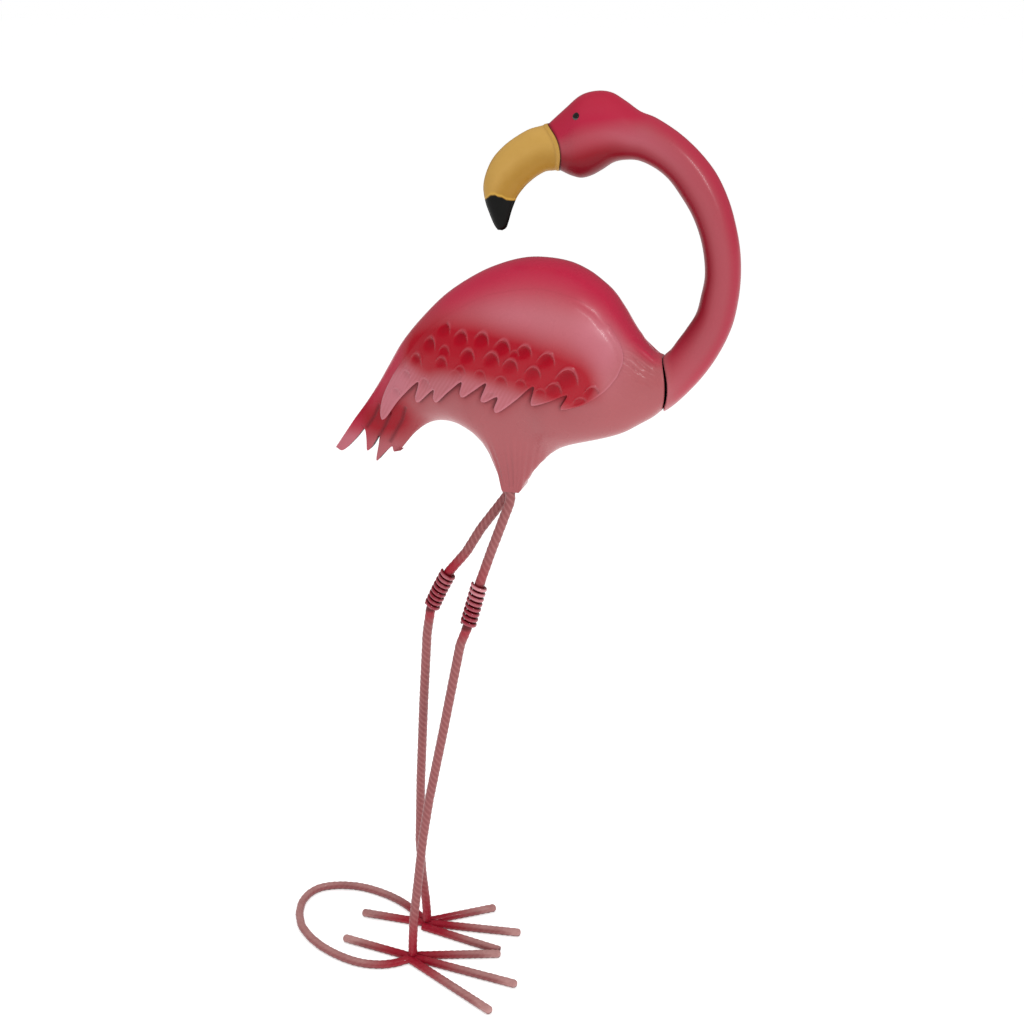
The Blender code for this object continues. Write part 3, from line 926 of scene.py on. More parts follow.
@dataclass(frozen=True)
class CoilEnamel:
    """Enamel on the knee wire: crimson on each turn's outer face with a pink painted highlight on the upper
    turns, and darker red between the turns as painted shade.
    """

    name: str = "coil_enamel"
    # outer is the wire's crimson; the pink is a painted highlight on the upper turns, and inner a painted
    # shade between the turns
    outer: Colour = (0.30, 0.012, 0.034)
    worn: Colour = (0.60, 0.22, 0.25)
    inner: Colour = (0.15, 0.0008, 0.006)

    def material(self) -> bpy.types.Material:
        """Blend from the inner colour, a painted shade, to the outer colour by the wire's face, with a pink
        painted highlight on the upper turns.
        """
        mix = Mixer.start(self.name)
        cloud = mix.noise(130.0)
        face = (mix.paint("face") + (cloud - 0.5) * 0.3).held()
        outer = mix.blend((mix.paint("worn") + (cloud - 0.5) * 0.3).held(), self.outer, self.worn)
        colour = mix.blend(face, self.inner, outer)
        normal = mix.bump(cloud, 0.15, 0.0005)
        return mix.dress(Base_Color=colour, Roughness=0.30 + cloud * 0.1, Coat_Weight=0.3, Normal=normal)


@dataclass(frozen=True)
class DarkInside:
    """Thin maroon overspray on the unlit inside of the sheet forms."""

    name: str = "dark_inside"
    near: Colour = (0.045, 0.004, 0.006)
    far: Colour = (0.012, 0.004, 0.004)

    def material(self) -> bpy.types.Material:
        """Blotch two dark reds with noise, rough and without a coat."""
        mix = Mixer.start(self.name)
        blotch = mix.noise(70.0, 4.0, 0.6)
        colour = mix.blend(blotch, self.near, self.far)
        normal = mix.bump(blotch, 0.3, 0.0006)
        return mix.dress(Base_Color=colour, Roughness=0.6 + blotch * 0.2, Normal=normal)


@dataclass(frozen=True)
class EyeGloss:
    """Gloss black with a little dark red paint at the rim."""

    name: str = "eye_gloss"
    black: Colour = (0.002, 0.002, 0.002)
    dusty: Colour = (0.010, 0.005, 0.004)
    rim: Colour = (0.03, 0.003, 0.006)

    def material(self) -> bpy.types.Material:
        """Blend black into the rim's paint by the painted rim."""
        mix = Mixer.start(self.name)
        speck = mix.noise(900.0)
        colour = mix.blend(mix.paint("rim"), mix.blend(speck, self.black, self.dusty), self.rim)
        normal = mix.bump(speck, 0.05, 0.0003)
        return mix.dress(Base_Color=colour, Roughness=0.08 + speck * 0.04, Coat_Weight=0.6, Normal=normal)


# a pale patch of paint on the mid-back, and a painted soft reflection on the breast by the wing's front
BACK_PALE_AND_SHEEN = (Spot((55, 787), (70, 30), -8, 0.9), Spot((130, 765), (24, 34), 0, 0.95))
RED_BAND = ((-58, 744), (-30, 757), (10, 758), (55, 751), (88, 740), (114, 728))
RED_BAND_REACH = 26.0


def back_paint_layers(spots: Array, u: Array, v: Array) -> dict[str, Array]:
    """Masks of the layers that run over the back and the wings alike.

    Deep rose follows the back's edge and widens towards the tail, a paler mauve lies below it, and
    red lies in a band over the rows of scallops. Part of the paler mauve is a painted soft reflection
    on the breast by the wing's front.

    Args:
        spots: x and z in thousandths.
        u: share of the way from the tail to the seam.
        v: share of the way from the back's edge to the belly.

    Returns:
        Masks by name.
    """
    x = spots[..., 0]
    tail = smoothstep(0.36, 0.10, u)
    limit = 0.215 + 0.37 * tail
    deep = smoothstep(1.0, 0.12, v / limit) * (1.0 - 0.5 * smoothstep(0.86, 0.98, u))
    # pale paint, with a painted soft reflection by the wing's front
    pale = sum(patch.over(spots) for patch in BACK_PALE_AND_SHEEN)
    band = near_line(spots, RED_BAND)
    red = bell(band, RED_BAND_REACH) * smoothstep(-92, -62, x) * smoothstep(146, 112, x)
    red = np.clip(red * 1.55, 0.0, 1.0)
    pale = np.clip(pale, 0.0, 1.0) * (1.0 - 0.7 * red)
    return {"pale": pale, "deep": deep * (1.0 - red), "red": red, "dark": np.zeros_like(red)}


@dataclass
class BodyForm:
    """The body: back, breast, belly, thigh and cut tail as one hollow pressed form."""

    rings: int = 300
    steps: int = 104
    tail_rings: int = 44
    inner_rings: int = 36
    crease_depth: float = 0.00028
    fold_depth: float = 0.0006
    ripple_depth: float = 0.00060
    deep_inset: float = 0.0045
    easing: int = 160
    easing_share: float = 0.8
    crease_centre: Point = (33, 548)
    crease_heights: tuple[float, ...] = (600, 610, 632, 676)
    crease_waves: Point = (104, 71)
    fold_half: float = 1.6
    fold_lip: Point = (3.4, 2.2)
    ripple_centre: Point = (168, 752)
    ripple_slope: Point = (0.84, -0.54)
    seam: Point = (184.0, 187.5)
    leg_root: Spot = Spot((55, 640), (62, 34), 8, 1.6)
    saddle: Spot = Spot((169, 751), (19, 15), -33)
    tail_reds: tuple[Spot, ...] = (Spot((-92, 672), (24, 22), 35, 1.1), Spot((-122, 664), (16, 22), 40, 0.7))
    shaded_edge: tuple[int, int] = (6, 34)
    tail_shares: Point = (0.46, 0.85)
    rounded_share: float = 0.80
    tail_edge: tuple[Point, ...] = (
        (-166.5, 628), (-157, 626), (-143, 639), (-127, 656), (-129.5, 630), (-124, 632),
        (-114, 646), (-118.5, 620), (-114, 622), (-101, 642), (-98, 630), (-90, 632),
    )
    folds: tuple[tuple[Point, ...], ...] = (
        ((-127, 656), (-118, 668), (-110, 682)),
        ((-114, 646), (-105, 660), (-97, 676)),
        ((-101, 642), (-93, 655), (-84, 669), (-78, 684)),
    )

    def tail(self) -> tuple[Array, Array]:
        """Rings from the first section to the cut edge: a straight blend between the two outlines.

        The cut edge is a smooth curve down to rounded_share of the way, and straight cuts below that.

        Returns:
            The places, the cut edge last and the section left out, and the share of the way down.
        """
        start, vv = BODY.rings(np.array([0.0]), self.steps)
        w = np.linspace(0.0, 1.0, self.steps + 1)
        edge = np.array(self.tail_edge)
        index = np.arange(len(edge))
        place = w * (len(edge) - 1)
        cut = np.stack([np.interp(place, index, edge[:, k]) for k in range(2)], axis=1)
        cut = np.where(w[:, None] < self.rounded_share, catmull(edge, place), cut) * SHARE
        root = BODY.sections[0][4] * SHARE
        side = root * (self.tail_shares[0] + (self.tail_shares[1] - self.tail_shares[0]) * w)
        side = FLANGE_HALF + (side - FLANGE_HALF) * smoothstep(0.0, 0.08, w)
        right = np.column_stack([cut[:, 0], -side, cut[:, 1]])
        end = np.vstack([right, (right * (1, -1, 1))[::-1]])
        t = np.linspace(0.0, 1.0, self.tail_rings + 1)[1:, None, None]
        return start * (1 - t) + end * t, np.broadcast_to(vv, (self.tail_rings, vv.shape[1]))

    def eased_thigh(self, places: Array) -> Array:
        """Let the belly flow into the thigh: each point moves to the mean of its neighbours, many times.

        Args:
            places: the outer grid, ring by ring.

        Returns:
            The same grid, eased only about the leg's root.
        """
        spots = side_view(places)
        near = self.leg_root.over(spots) * smoothstep(603, 613, spots[..., 1])
        near = np.clip(near, 0.0, 1.0) * smoothstep(-62, -35, spots[..., 0])
        near[[0, -1]] = 0.0
        near = near[..., None]
        for _ in range(self.easing):
            mean = (np.roll(places, 1, axis=1) + np.roll(places, -1, axis=1)) / 4
            mean = mean + (np.roll(places, 1, axis=0) + np.roll(places, -1, axis=0)) / 4
            places = places + near * self.easing_share * (mean - places)
        return places

    def relief(self, spots: Array) -> Array:
        """Height of the pressed marks.

        Fine creases fan up from the leg root, folds run up from the tail's notches, and short ripples
        lie along the saddle beside the neck seam.

        Args:
            spots: x and z in thousandths.

        Returns:
            Heights in metres.
        """
        x, z = spots[..., 0], spots[..., 1]
        fan = np.arctan2(x - self.crease_centre[0], z - self.crease_centre[1])
        foot, grown, fading, gone = self.crease_heights
        reach = smoothstep(foot, grown, z) * smoothstep(gone, fading, z) * smoothstep(0.62, 0.25, np.abs(fan))
        fine, coarse = self.crease_waves
        waves = np.sin(fan * fine + 0.8 * np.sin(z * 0.09)) + 0.7 * np.sin(fan * coarse + 1.3 + 0.05 * z)
        height = self.crease_depth * waves * reach
        for fold in self.folds:
            line = near_line(spots, fold)
            lip = bell(line - self.fold_lip[0], self.fold_lip[1])
            height = height + self.fold_depth * (0.4 * lip - bell(line, self.fold_half))
        run, drop = self.ripple_slope
        aside = spots - self.ripple_centre
        across = aside[..., 1] * run - aside[..., 0] * drop
        along = aside[..., 0] * run + aside[..., 1] * drop
        ripples = np.sin(across * 1.05 + 0.9 * np.sin(along * 0.22))
        ripples = ripples + 0.5 * np.sin(across * 1.9 + along * 0.2)
        height = height + self.ripple_depth * ripples * self.saddle.over(spots)
        return height * smoothstep(self.seam[1], self.seam[0], x)

    def paint_layers(self, places: Array, u: Array, v: Array) -> dict[str, Array]:
        """Masks of the paint layers by place, with painted shade under the wing's edge, in the tail's folds
        and on the lower body.

        Args:
            places: in metres.
            u: share of the way from the tail to the seam.
            v: share of the way down.

        Returns:
            One mask for each layer.
        """
        spots = side_view(places)
        x, z = spots[..., 0], spots[..., 1]
        masks = back_paint_layers(spots, u, v)
        tail_red = sum(red.over(spots) for red in self.tail_reds)
        edge = near_line(spots, WING_EDGE[slice(*self.shaded_edge)])
        # under: a painted shadow on the body just below the wing's edge, in red and dark
        under = bell(edge, 7.0) * smoothstep(-100, -60, x) * smoothstep(125, 60, x)
        red = masks["red"] * smoothstep(704, 722, z)
        # the tail's red, plus red as painted shadow below the wing's edge
        red = np.clip(red + 1.2 * tail_red + 0.30 * under, 0.0, 1.0)
        grooves = np.min([near_line(spots, fold) for fold in self.folds], axis=0)
        tips = smoothstep(652, 634, z) * smoothstep(-82, -98, x)
        first = smoothstep(662, 640, z) * smoothstep(-126, -136, x)
        # shade: painted shade, a soft shadow below the wing's edge and over the tail's red root, and the body
        # darker towards the bottom
        shade = 0.10 * bell(edge, 24.0) * smoothstep(-90, -50, x) + 0.06 * smoothstep(705, 660, z)
        shade = shade + 0.20 * np.clip(tail_red, 0.0, 1.0)
        # painted shade in the folds' grooves and a painted shadow line just under the wing's edge
        lines = 0.45 * bell(grooves, 2.2) + 0.60 * bell(edge, 2.6) * under
        masks["dark"] = np.clip(lines + shade, 0.0, 1.0)
        masks["pale"] = np.clip(masks["pale"] + 0.35 * tips + 0.75 * first, 0.0, 1.0)
        masks["red"] = red * (1.0 - 0.35 * tips) * (1.0 - 0.7 * first)
        masks["deep"] = masks["deep"] * (1.0 - 0.25 * tips) * (1.0 - 0.85 * first)
        return masks

    def build(self, paint: bpy.types.Material, inside: bpy.types.Material) -> bpy.types.Object:
        """Make the body and let it stand for its solid.

        Args:
            paint: the enamel, with its painted shade and highlight.
            inside: the dark inside.

        Returns:
            The piece.
        """
        plan = MeshPlan(PAINT_LAYER_NAMES)
        outer, v = BODY.rings(np.linspace(1.0, 0.0, self.rings), self.steps)
        tail, tail_v = self.tail()
        places = np.concatenate([outer, tail])
        v = np.concatenate([v, tail_v])
        u = np.r_[np.linspace(1.0, 0.0, self.rings), np.zeros(self.tail_rings)][:, None] + 0 * v
        out = ring_normals(places)
        masks = self.paint_layers(places, u, v)
        places = self.eased_thigh(places)
        places = places + out * self.relief(side_view(places))[..., None]
        deep = np.linspace(1.0, 0.0, self.inner_rings)
        inset = SHEET + (self.deep_inset - SHEET) * smoothstep(1.0, 0.93, deep)
        inner, _ = BODY.rings(deep, self.steps, inset)
        plan.hollow(places, masks, inner, 1, dark=np.ones(inner.shape[:-1]))
        return install(plan.build("body_form", (paint, inside)), "body")


@dataclass
class Wing:
    """A wing: a sheet on the body's side with rows of pressed scallops and a cut edge of feathers.

    The sheet's grid runs along parallel lines in the feathers' own direction, so no line crosses
    another, however deep the notches are.
    """

    side: Side
    columns: int = 460
    rows: int = 120
    sheet: float = 0.0011
    tip_lift: float = 0.0020
    ridge: float = 0.00110
    hollow: float = 0.00105
    feather: Point = (-0.552, -0.834)
    front: int = 3
    rim_steps: int = 260
    plume: Spot = Spot((-86, 703), (14, 34), -38)
    feather_line: tuple[Point, ...] = (
        (-92, 725), (-70, 742), (-40, 734), (0, 741), (40, 731), (75, 719), (108, 706),
    )
    arch: Point = (-0.26, -0.966)
    arch_depth: float = 4.6
    arch_half: float = 6.2
    arch_power: float = 2.4
    ridge_half: float = 1.45
    drift: Point = (-0.50, -0.866)
    bead: float = 0.00025
    lowest: float = 0.00008
    scallops: tuple[tuple[float, float, float, float], ...] = (
        (-22, 782, 1.0, 1.0),
        (-1.5, 776, 1.0, 1.0),
        (21, 777, 1.0, 1.0),
        (43, 772, 1.05, 1.0),
        (64.5, 768.5, 1.0, 1.0),
        (86, 762, 1.05, 1.0),
        (106, 747, 1.35, 1.2),
        (128, 730, 0.9, 0.9),
        (-38, 765.5, 1.0, 1.0),
        (-20, 760, 0.8, 0.6),
        (6.7, 760, 1.0, 1.0),
        (32, 759.5, 1.05, 1.0),
        (54, 763, 0.6, 0.6),
        (51, 754.5, 1.0, 1.0),
        (73, 748.5, 1.0, 1.0),
        (92.6, 733, 1.0, 1.0),
        (-54.5, 747, 1.0, 0.8),
        (-22.6, 749, 0.9, 0.8),
        (-2, 743, 0.8, 0.5),
        (-68.4, 728, 0.8, 0.5),
        (-82.8, 707, 0.8, 0.5),
        (-44.3, 724.5, 0.9, 0.5),
        (-7.5, 738, 0.9, 0.4),
        (19.2, 741, 0.8, 0.5),
        (40.6, 737, 0.9, 0.6),
        (28.8, 720, 0.9, 0.35),
        (79.3, 727, 0.8, 0.5),
        (60, 735, 0.8, 0.5),
        (116.6, 719, 0.9, 0.7),
    )

    def across(self, spots: Array) -> Array:
        """Give how far spots lie across the feathers' direction, growing from the front to the tail."""
        return spots[..., 0] * self.feather[1] - spots[..., 1] * self.feather[0]

    def borders(self) -> tuple[Array, Array]:
        """Find the two ends of every line of the grid.

        The lower border is the cut edge from the front contour to the last feather's back. The upper
        border is the rest of the outline, read where each line crosses it.

        Returns:
            Upper and lower ends, as x and z in thousandths.
        """
        edge = np.array(WING_EDGE, dtype=float)
        low = edge[self.front : -1]
        fine = catmull(low, np.linspace(0, len(low) - 1, 14 * len(low)))
        low = read_path(fine, np.linspace(0.0, lengths(fine)[-1], self.columns))
        high = np.vstack([edge[self.front :: -1], WING_CREST, edge[-1:], edge[-2:-1]])
        high = catmull(high, np.linspace(0, len(high) - 1, 40 * len(high)))
        place = np.maximum.accumulate(self.across(low))
        order = np.maximum.accumulate(self.across(high))
        high = np.stack([np.interp(place, order, high[:, k]) for k in range(2)], axis=1)
        return high, low

    def press(self, spots: Array) -> tuple[Array, Array]:
        """Height of the pressed scallops.

        Each one is a flat-topped arch open to the lower back: its ridge follows a power curve, and the
        hollow below it is a long bell that drifts back towards the feather below.

        Args:
            spots: x and z in thousandths.

        Returns:
            Ridge and hollow amounts, each from 0 to about 1.
        """
        ridge = np.zeros(spots.shape[:-1])
        hollow = np.zeros(spots.shape[:-1])
        side = (-self.arch[1], self.arch[0])
        for x, z, size, force in self.scallops:
            d = (spots - (x, z)) / size
            a = d @ self.arch
            b = d @ side
            arch = a - self.arch_depth * np.abs(b / self.arch_half) ** self.arch_power
            window = smoothstep(9.0, 6.6, np.abs(b))
            ridge = np.maximum(ridge, bell(arch, self.ridge_half) * window * force)
            inner = smoothstep(0.6, 2.6, arch) * smoothstep(8.5, 5.0, np.abs(b))
            slide = d - np.array(self.drift) * np.maximum(d @ self.drift, 0.0)[..., None]
            deep = smoothstep(19.0, 5.0, a) * bell(np.linalg.norm(slide, axis=-1), self.arch_half)
            hollow = np.maximum(hollow, inner * deep * force)
        return ridge, hollow

    def build(self, paint: bpy.types.Material) -> bpy.types.Object:
        """Make the wing and let it stand for its solid.

        Args:
            paint: the enamel, with its painted shade and highlight.

        Returns:
            The piece.
        """
        high, low = self.borders()
        share = np.linspace(0.0, 1.0, self.rows)[:, None]
        spots = high[None] + (low - high)[None] * share[..., None]
        u, v = BODY.find(spots)
        places = BODY.at(u, v, -np.ones_like(u))
        out = BODY.outward(u, v)
        rim = near_line(spots, catmull(WING_EDGE, np.linspace(0, len(WING_EDGE) - 1, self.rim_steps)))
        front = near_line(spots, WING_EDGE[: self.front + 4])
        crest = near_line(spots, (*WING_CREST, WING_EDGE[-1]))
        ridge, hollow = self.press(spots)
        lift = self.tip_lift * (0.35 * smoothstep(0.0, 20.0, crest) + 0.65 * smoothstep(12.0, 70.0, crest))
        lift = 0.00012 + lift * (0.1 + 0.9 * smoothstep(0.0, 8.0, front))
        thick = self.sheet * (0.12 + 0.88 * smoothstep(0.0, 8.0, crest))
        thick = thick * (0.45 + 0.55 * np.sqrt(1.0 - (1.0 - np.clip(rim / 2.0, 0.0, 1.0)) ** 2))
        gate = smoothstep(1.0, 3.2, rim) * smoothstep(3.0, 9.0, crest)
        bead = self.bead * bell(rim - 2.2, 1.1) * smoothstep(4.0, 12.0, crest)
        press = (self.ridge * ridge - self.hollow * hollow) * gate + bead
        top = np.maximum(lift + thick + press, 0.00035)
        under = np.minimum(lift + np.minimum(press, 0.0) * 0.8, top - 0.0002)
        under = np.maximum(under, self.lowest)
        masks = self.paint_layers(spots, u, v, rim, crest, ridge * gate, hollow * gate)
        mirror = np.array([1.0, -self.side.value, 1.0])
        plan = MeshPlan(PAINT_LAYER_NAMES)
        outer = plan.put((places + out * top[..., None]) * mirror, **masks)
        inner = plan.put((places + out * under[..., None]) * mirror, dark=0.8 + 0 * u, red=0.6 + 0 * u)
        plan.skin(outer)
        plan.skin(inner)
        for side in np.s_[0], np.s_[-1], np.s_[:, 0], np.s_[:, -1]:
            plan.skin(np.stack([outer[side], inner[side]]))
        piece = plan.build(f"wing_sheet_{self.side.word}", (paint,), 60.0)
        return install(piece, f"wing_{self.side.word}")

    def paint_layers(
        self, spots: Array, u: Array, v: Array, rim: Array, crest: Array, ridge: Array, hollow: Array
    ) -> dict[str, Array]:
        """Masks of the layers: the back's own, less red on the feathers and the scallops' ridges, a painted
        highlight on the ridges and along the cut edge, and painted shade in the hollows.

        Args:
            spots: x and z in thousandths.
            u: share of the way from the tail to the seam.
            v: share of the way down.
            rim: distance to the cut edge.
            crest: distance to the crest.
            ridge: how much of a scallop's ridge a place is.
            hollow: how much of a hollow.

        Returns:
            One mask for each layer.
        """
        masks = back_paint_layers(spots, u, v)
        x, z = spots[..., 0], spots[..., 1]
        above = z - np.interp(x, *zip(*self.feather_line))
        feather = smoothstep(2.0, -16.0, above) * smoothstep(140, 118, x)
        plume = self.plume.over(spots)
        masks["deep"] = masks["deep"] * (1.0 - 0.9 * np.clip(plume * 1.6, 0, 1)) * (1.0 - 0.8 * feather)
        red = masks["red"] * (0.92 + 0.4 * hollow) * (1.0 - 0.72 * feather) * (1.0 - 0.8 * plume)
        # the ridges lose red as part of their painted highlight
        masks["red"] = np.clip(red, 0.0, 1.0) * (1.0 - 0.38 * ridge)
        streaks = 0.5 + 0.5 * np.sin(self.across(spots) * 1.7 + 0.8 * np.sin(0.16 * x + 0.11 * z))
        # light: pale paint on the feathers and the plume, and a painted highlight on the scallops' ridges
        light = (0.38 + 0.35 * streaks) * feather + 0.6 * plume + 0.45 * ridge
        # a painted highlight along the feathers' cut edge
        light = light + 0.55 * bell(rim - 0.8, 1.1) * smoothstep(4, 12, crest)
        masks["pale"] = np.clip(masks["pale"] + light, 0.0, 1.0)
        # painted shade in the scallops' hollows
        masks["dark"] = 0.22 * hollow
        return masks


@dataclass
class NeckAndHead:
    """The neck and head: one hollow form, open at the seam with the body."""

    rings: int = 320
    steps: int = 44
    inner_rings: int = 40
    inner_end: float = 0.985
    skin_inset: float = 0.00016
    crown_blush: Spot = Spot((0.52, 0.72), (0.20, 0.13), 0.0, 0.75)

    def paint_layers(self, u: Array, v: Array) -> dict[str, Array]:
        """Masks: deep rose along both outlines, pale in the middle, and a dark red chin.

        Args:
            u: share of the way from the seam to the beak.
            v: share of the way from the inner to the outer side of the curve.

        Returns:
            One mask for each spray.
        """
        head = smoothstep(0.66, 0.84, u)
        outer = smoothstep(0.66, 0.97, v)
        inner = smoothstep(0.44, 0.05, v)
        deep = 0.35 + 0.50 * outer + 0.40 * inner * (1 - head) + head * smoothstep(0.45, 0.80, v) * 0.75
        deep = np.clip(deep + 0.15 * head, 0.0, 1.0) * smoothstep(0.0, 0.14, u)
        red = inner * (0.80 + 0.20 * head) * smoothstep(0.02, 0.30, u)
        chin = smoothstep(0.52, 0.10, v) * smoothstep(0.68, 0.84, u)
        red = np.clip(red + 0.85 * chin + 0.22 * head * outer, 0.0, 1.0)
        dark = 0.19 * smoothstep(0.0, 0.25, u) * (1.0 - 0.3 * head)
        dark = dark + 0.35 * inner * smoothstep(0.02, 0.30, u) + 0.18 * chin + 0.5 * smoothstep(0.990, 1.0, u)
        pale = self.crown_blush.over(np.stack([v, u], axis=-1)) + 0.20 * bell(v - 0.62, 0.2) * (1 - head)
        pale = pale + 0.25 * smoothstep(0.10, 0.0, u)
        return {"pale": np.clip(pale, 0, 1), "deep": deep, "red": red, "dark": dark}

    def build(self, paint: bpy.types.Material, inside: bpy.types.Material) -> bpy.types.Object:
        """Make the neck and head and let them stand for their solid.

        Args:
            paint: the enamel, with its painted shade and highlight.
            inside: the dark inside.

        Returns:
            The piece.
        """
        plan = MeshPlan(PAINT_LAYER_NAMES)
        u = np.linspace(0.0, 1.0, self.rings)
        places, v = NECK.rings(u, self.steps, self.skin_inset)
        deep = np.linspace(0.0, self.inner_end, self.inner_rings)
        inner, _ = NECK.rings(deep, self.steps, SHEET + self.skin_inset)
        plan.hollow(places, self.paint_layers(np.broadcast_to(u[:, None], v.shape), v), inner)
        return install(plan.build("neck_and_head_form", (paint, inside)), "neck_and_head")


@dataclass
class Beak:
    """The hooked beak with its raised collar."""

    rings: int = 230
    steps: int = 52
    inner_rings: int = 24
    inner_end: float = 0.78
    wall: float = SHEET * 1.8
    collar: float = 0.0005
    crease: float = 0.00015
    collar_end: float = 0.042
    black_edge: tuple[Point, ...] = (
        (0, 897), (4, 896.5), (8, 899), (12, 902), (17, 902.5), (20, 901), (24, 900.5), (28, 898),
        (34, 897),
    )

    def build(self, paint: bpy.types.Material, inside: bpy.types.Material) -> bpy.types.Object:
        """Make the beak and let it stand for its solid.

        The collar is a step in height over the first share of the length, and a soft crease runs
        along each side a little above the middle.

        Args:
            paint: the mustard enamel.
            inside: the dark inside.

        Returns:
            The piece.
        """
        plan = MeshPlan(("shade", "lip", "joint", "black"))
        u = np.linspace(0.0, 1.0, self.rings)
        places, v = BEAK.rings(u, self.steps)
        uu = np.broadcast_to(u[:, None], v.shape)
        out = ring_normals(places)
        end = self.collar_end
        step = smoothstep(end - 0.008, end + 0.006, uu)
        bead = bell(uu - end * 0.55, end * 0.4)
        line = 0.47 - 0.10 * smoothstep(0.3, 0.9, uu)
        crease = bell(v - line, 0.05) * smoothstep(0.09, 0.2, uu) * smoothstep(0.80, 0.6, uu)
        height = (0.0002 * bead - self.collar * step - self.crease * crease) * smoothstep(0.0, 0.012, uu)
        places = places + out * height[..., None]
        x, z = places[..., 0] / SHARE, places[..., 2] / SHARE
        above = z - np.interp(x, *zip(*self.black_edge))
        black = smoothstep(0.35, -0.35, above)
        lip = bell(above - 1.4, 1.0) * 0.85
        shade = smoothstep(line - 0.10, line + 0.28, v) * 0.75 + 0.25 * smoothstep(0.45, 0.75, uu)
        shade = shade * smoothstep(0.02, 0.07, uu) + 0.25 * smoothstep(0.06, 0.02, uu)
        joint = smoothstep(0.006, 0.0, uu) * 0.9 + 0.08 * bell(uu - end - 0.010, 0.008)
        masks = {"shade": np.clip(shade, 0, 1), "lip": lip, "joint": np.clip(joint, 0, 1), "black": black}
        inner, _ = BEAK.rings(np.linspace(0.0, self.inner_end, self.inner_rings), self.steps, self.wall)
        plan.hollow(places, masks, inner)
        return install(plan.build("beak_form", (paint, inside)), "beak")


@dataclass
class Eye:
    """A glossy dome set on the side of the head."""

    side: Side
    radius: float = 0.0037
    height: float = 0.0024
    rings: int = 22
    around: int = 48

    def build(self, paint: bpy.types.Material) -> bpy.types.Object:
        """Make the eye where its solid is: a dome over a flat foot, pointing away from the head.

        Args:
            paint: the gloss black.

        Returns:
            The piece.
        """
        low, high = (np.array(corner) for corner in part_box(f"eye_{self.side.word}"))
        centre = (low + high) / 2
        angle = np.linspace(0.0, math.pi / 2, self.rings)
        turn = np.linspace(0.0, 2 * math.pi, self.around, endpoint=False)
        r = np.r_[self.radius * np.sin(angle), self.radius * 0.96, 0.0]
        h = np.r_[self.height * np.cos(angle), -0.0003, -0.0003]
        r, h = r[:, None], h[:, None]
        grid = np.stack([r * np.cos(turn), r * np.sin(turn), h + 0 * turn], axis=-1)
        out = Vector((-0.10, self.side.value * 0.80, 0.55)).normalized()
        frame = np.array(out.to_track_quat("Z", "Y").to_matrix())
        grid = grid @ frame.T + centre - np.array(out) * self.height * 0.5
        plan = MeshPlan(("rim",))
        ids = plan.put(grid, rim=smoothstep(0.86, 1.0, r / self.radius) + 0 * turn)
        plan.skin(ids, True)
        piece = plan.build(f"eye_dome_{self.side.word}", (paint,), 60.0)
        return install(piece, f"eye_{self.side.word}")


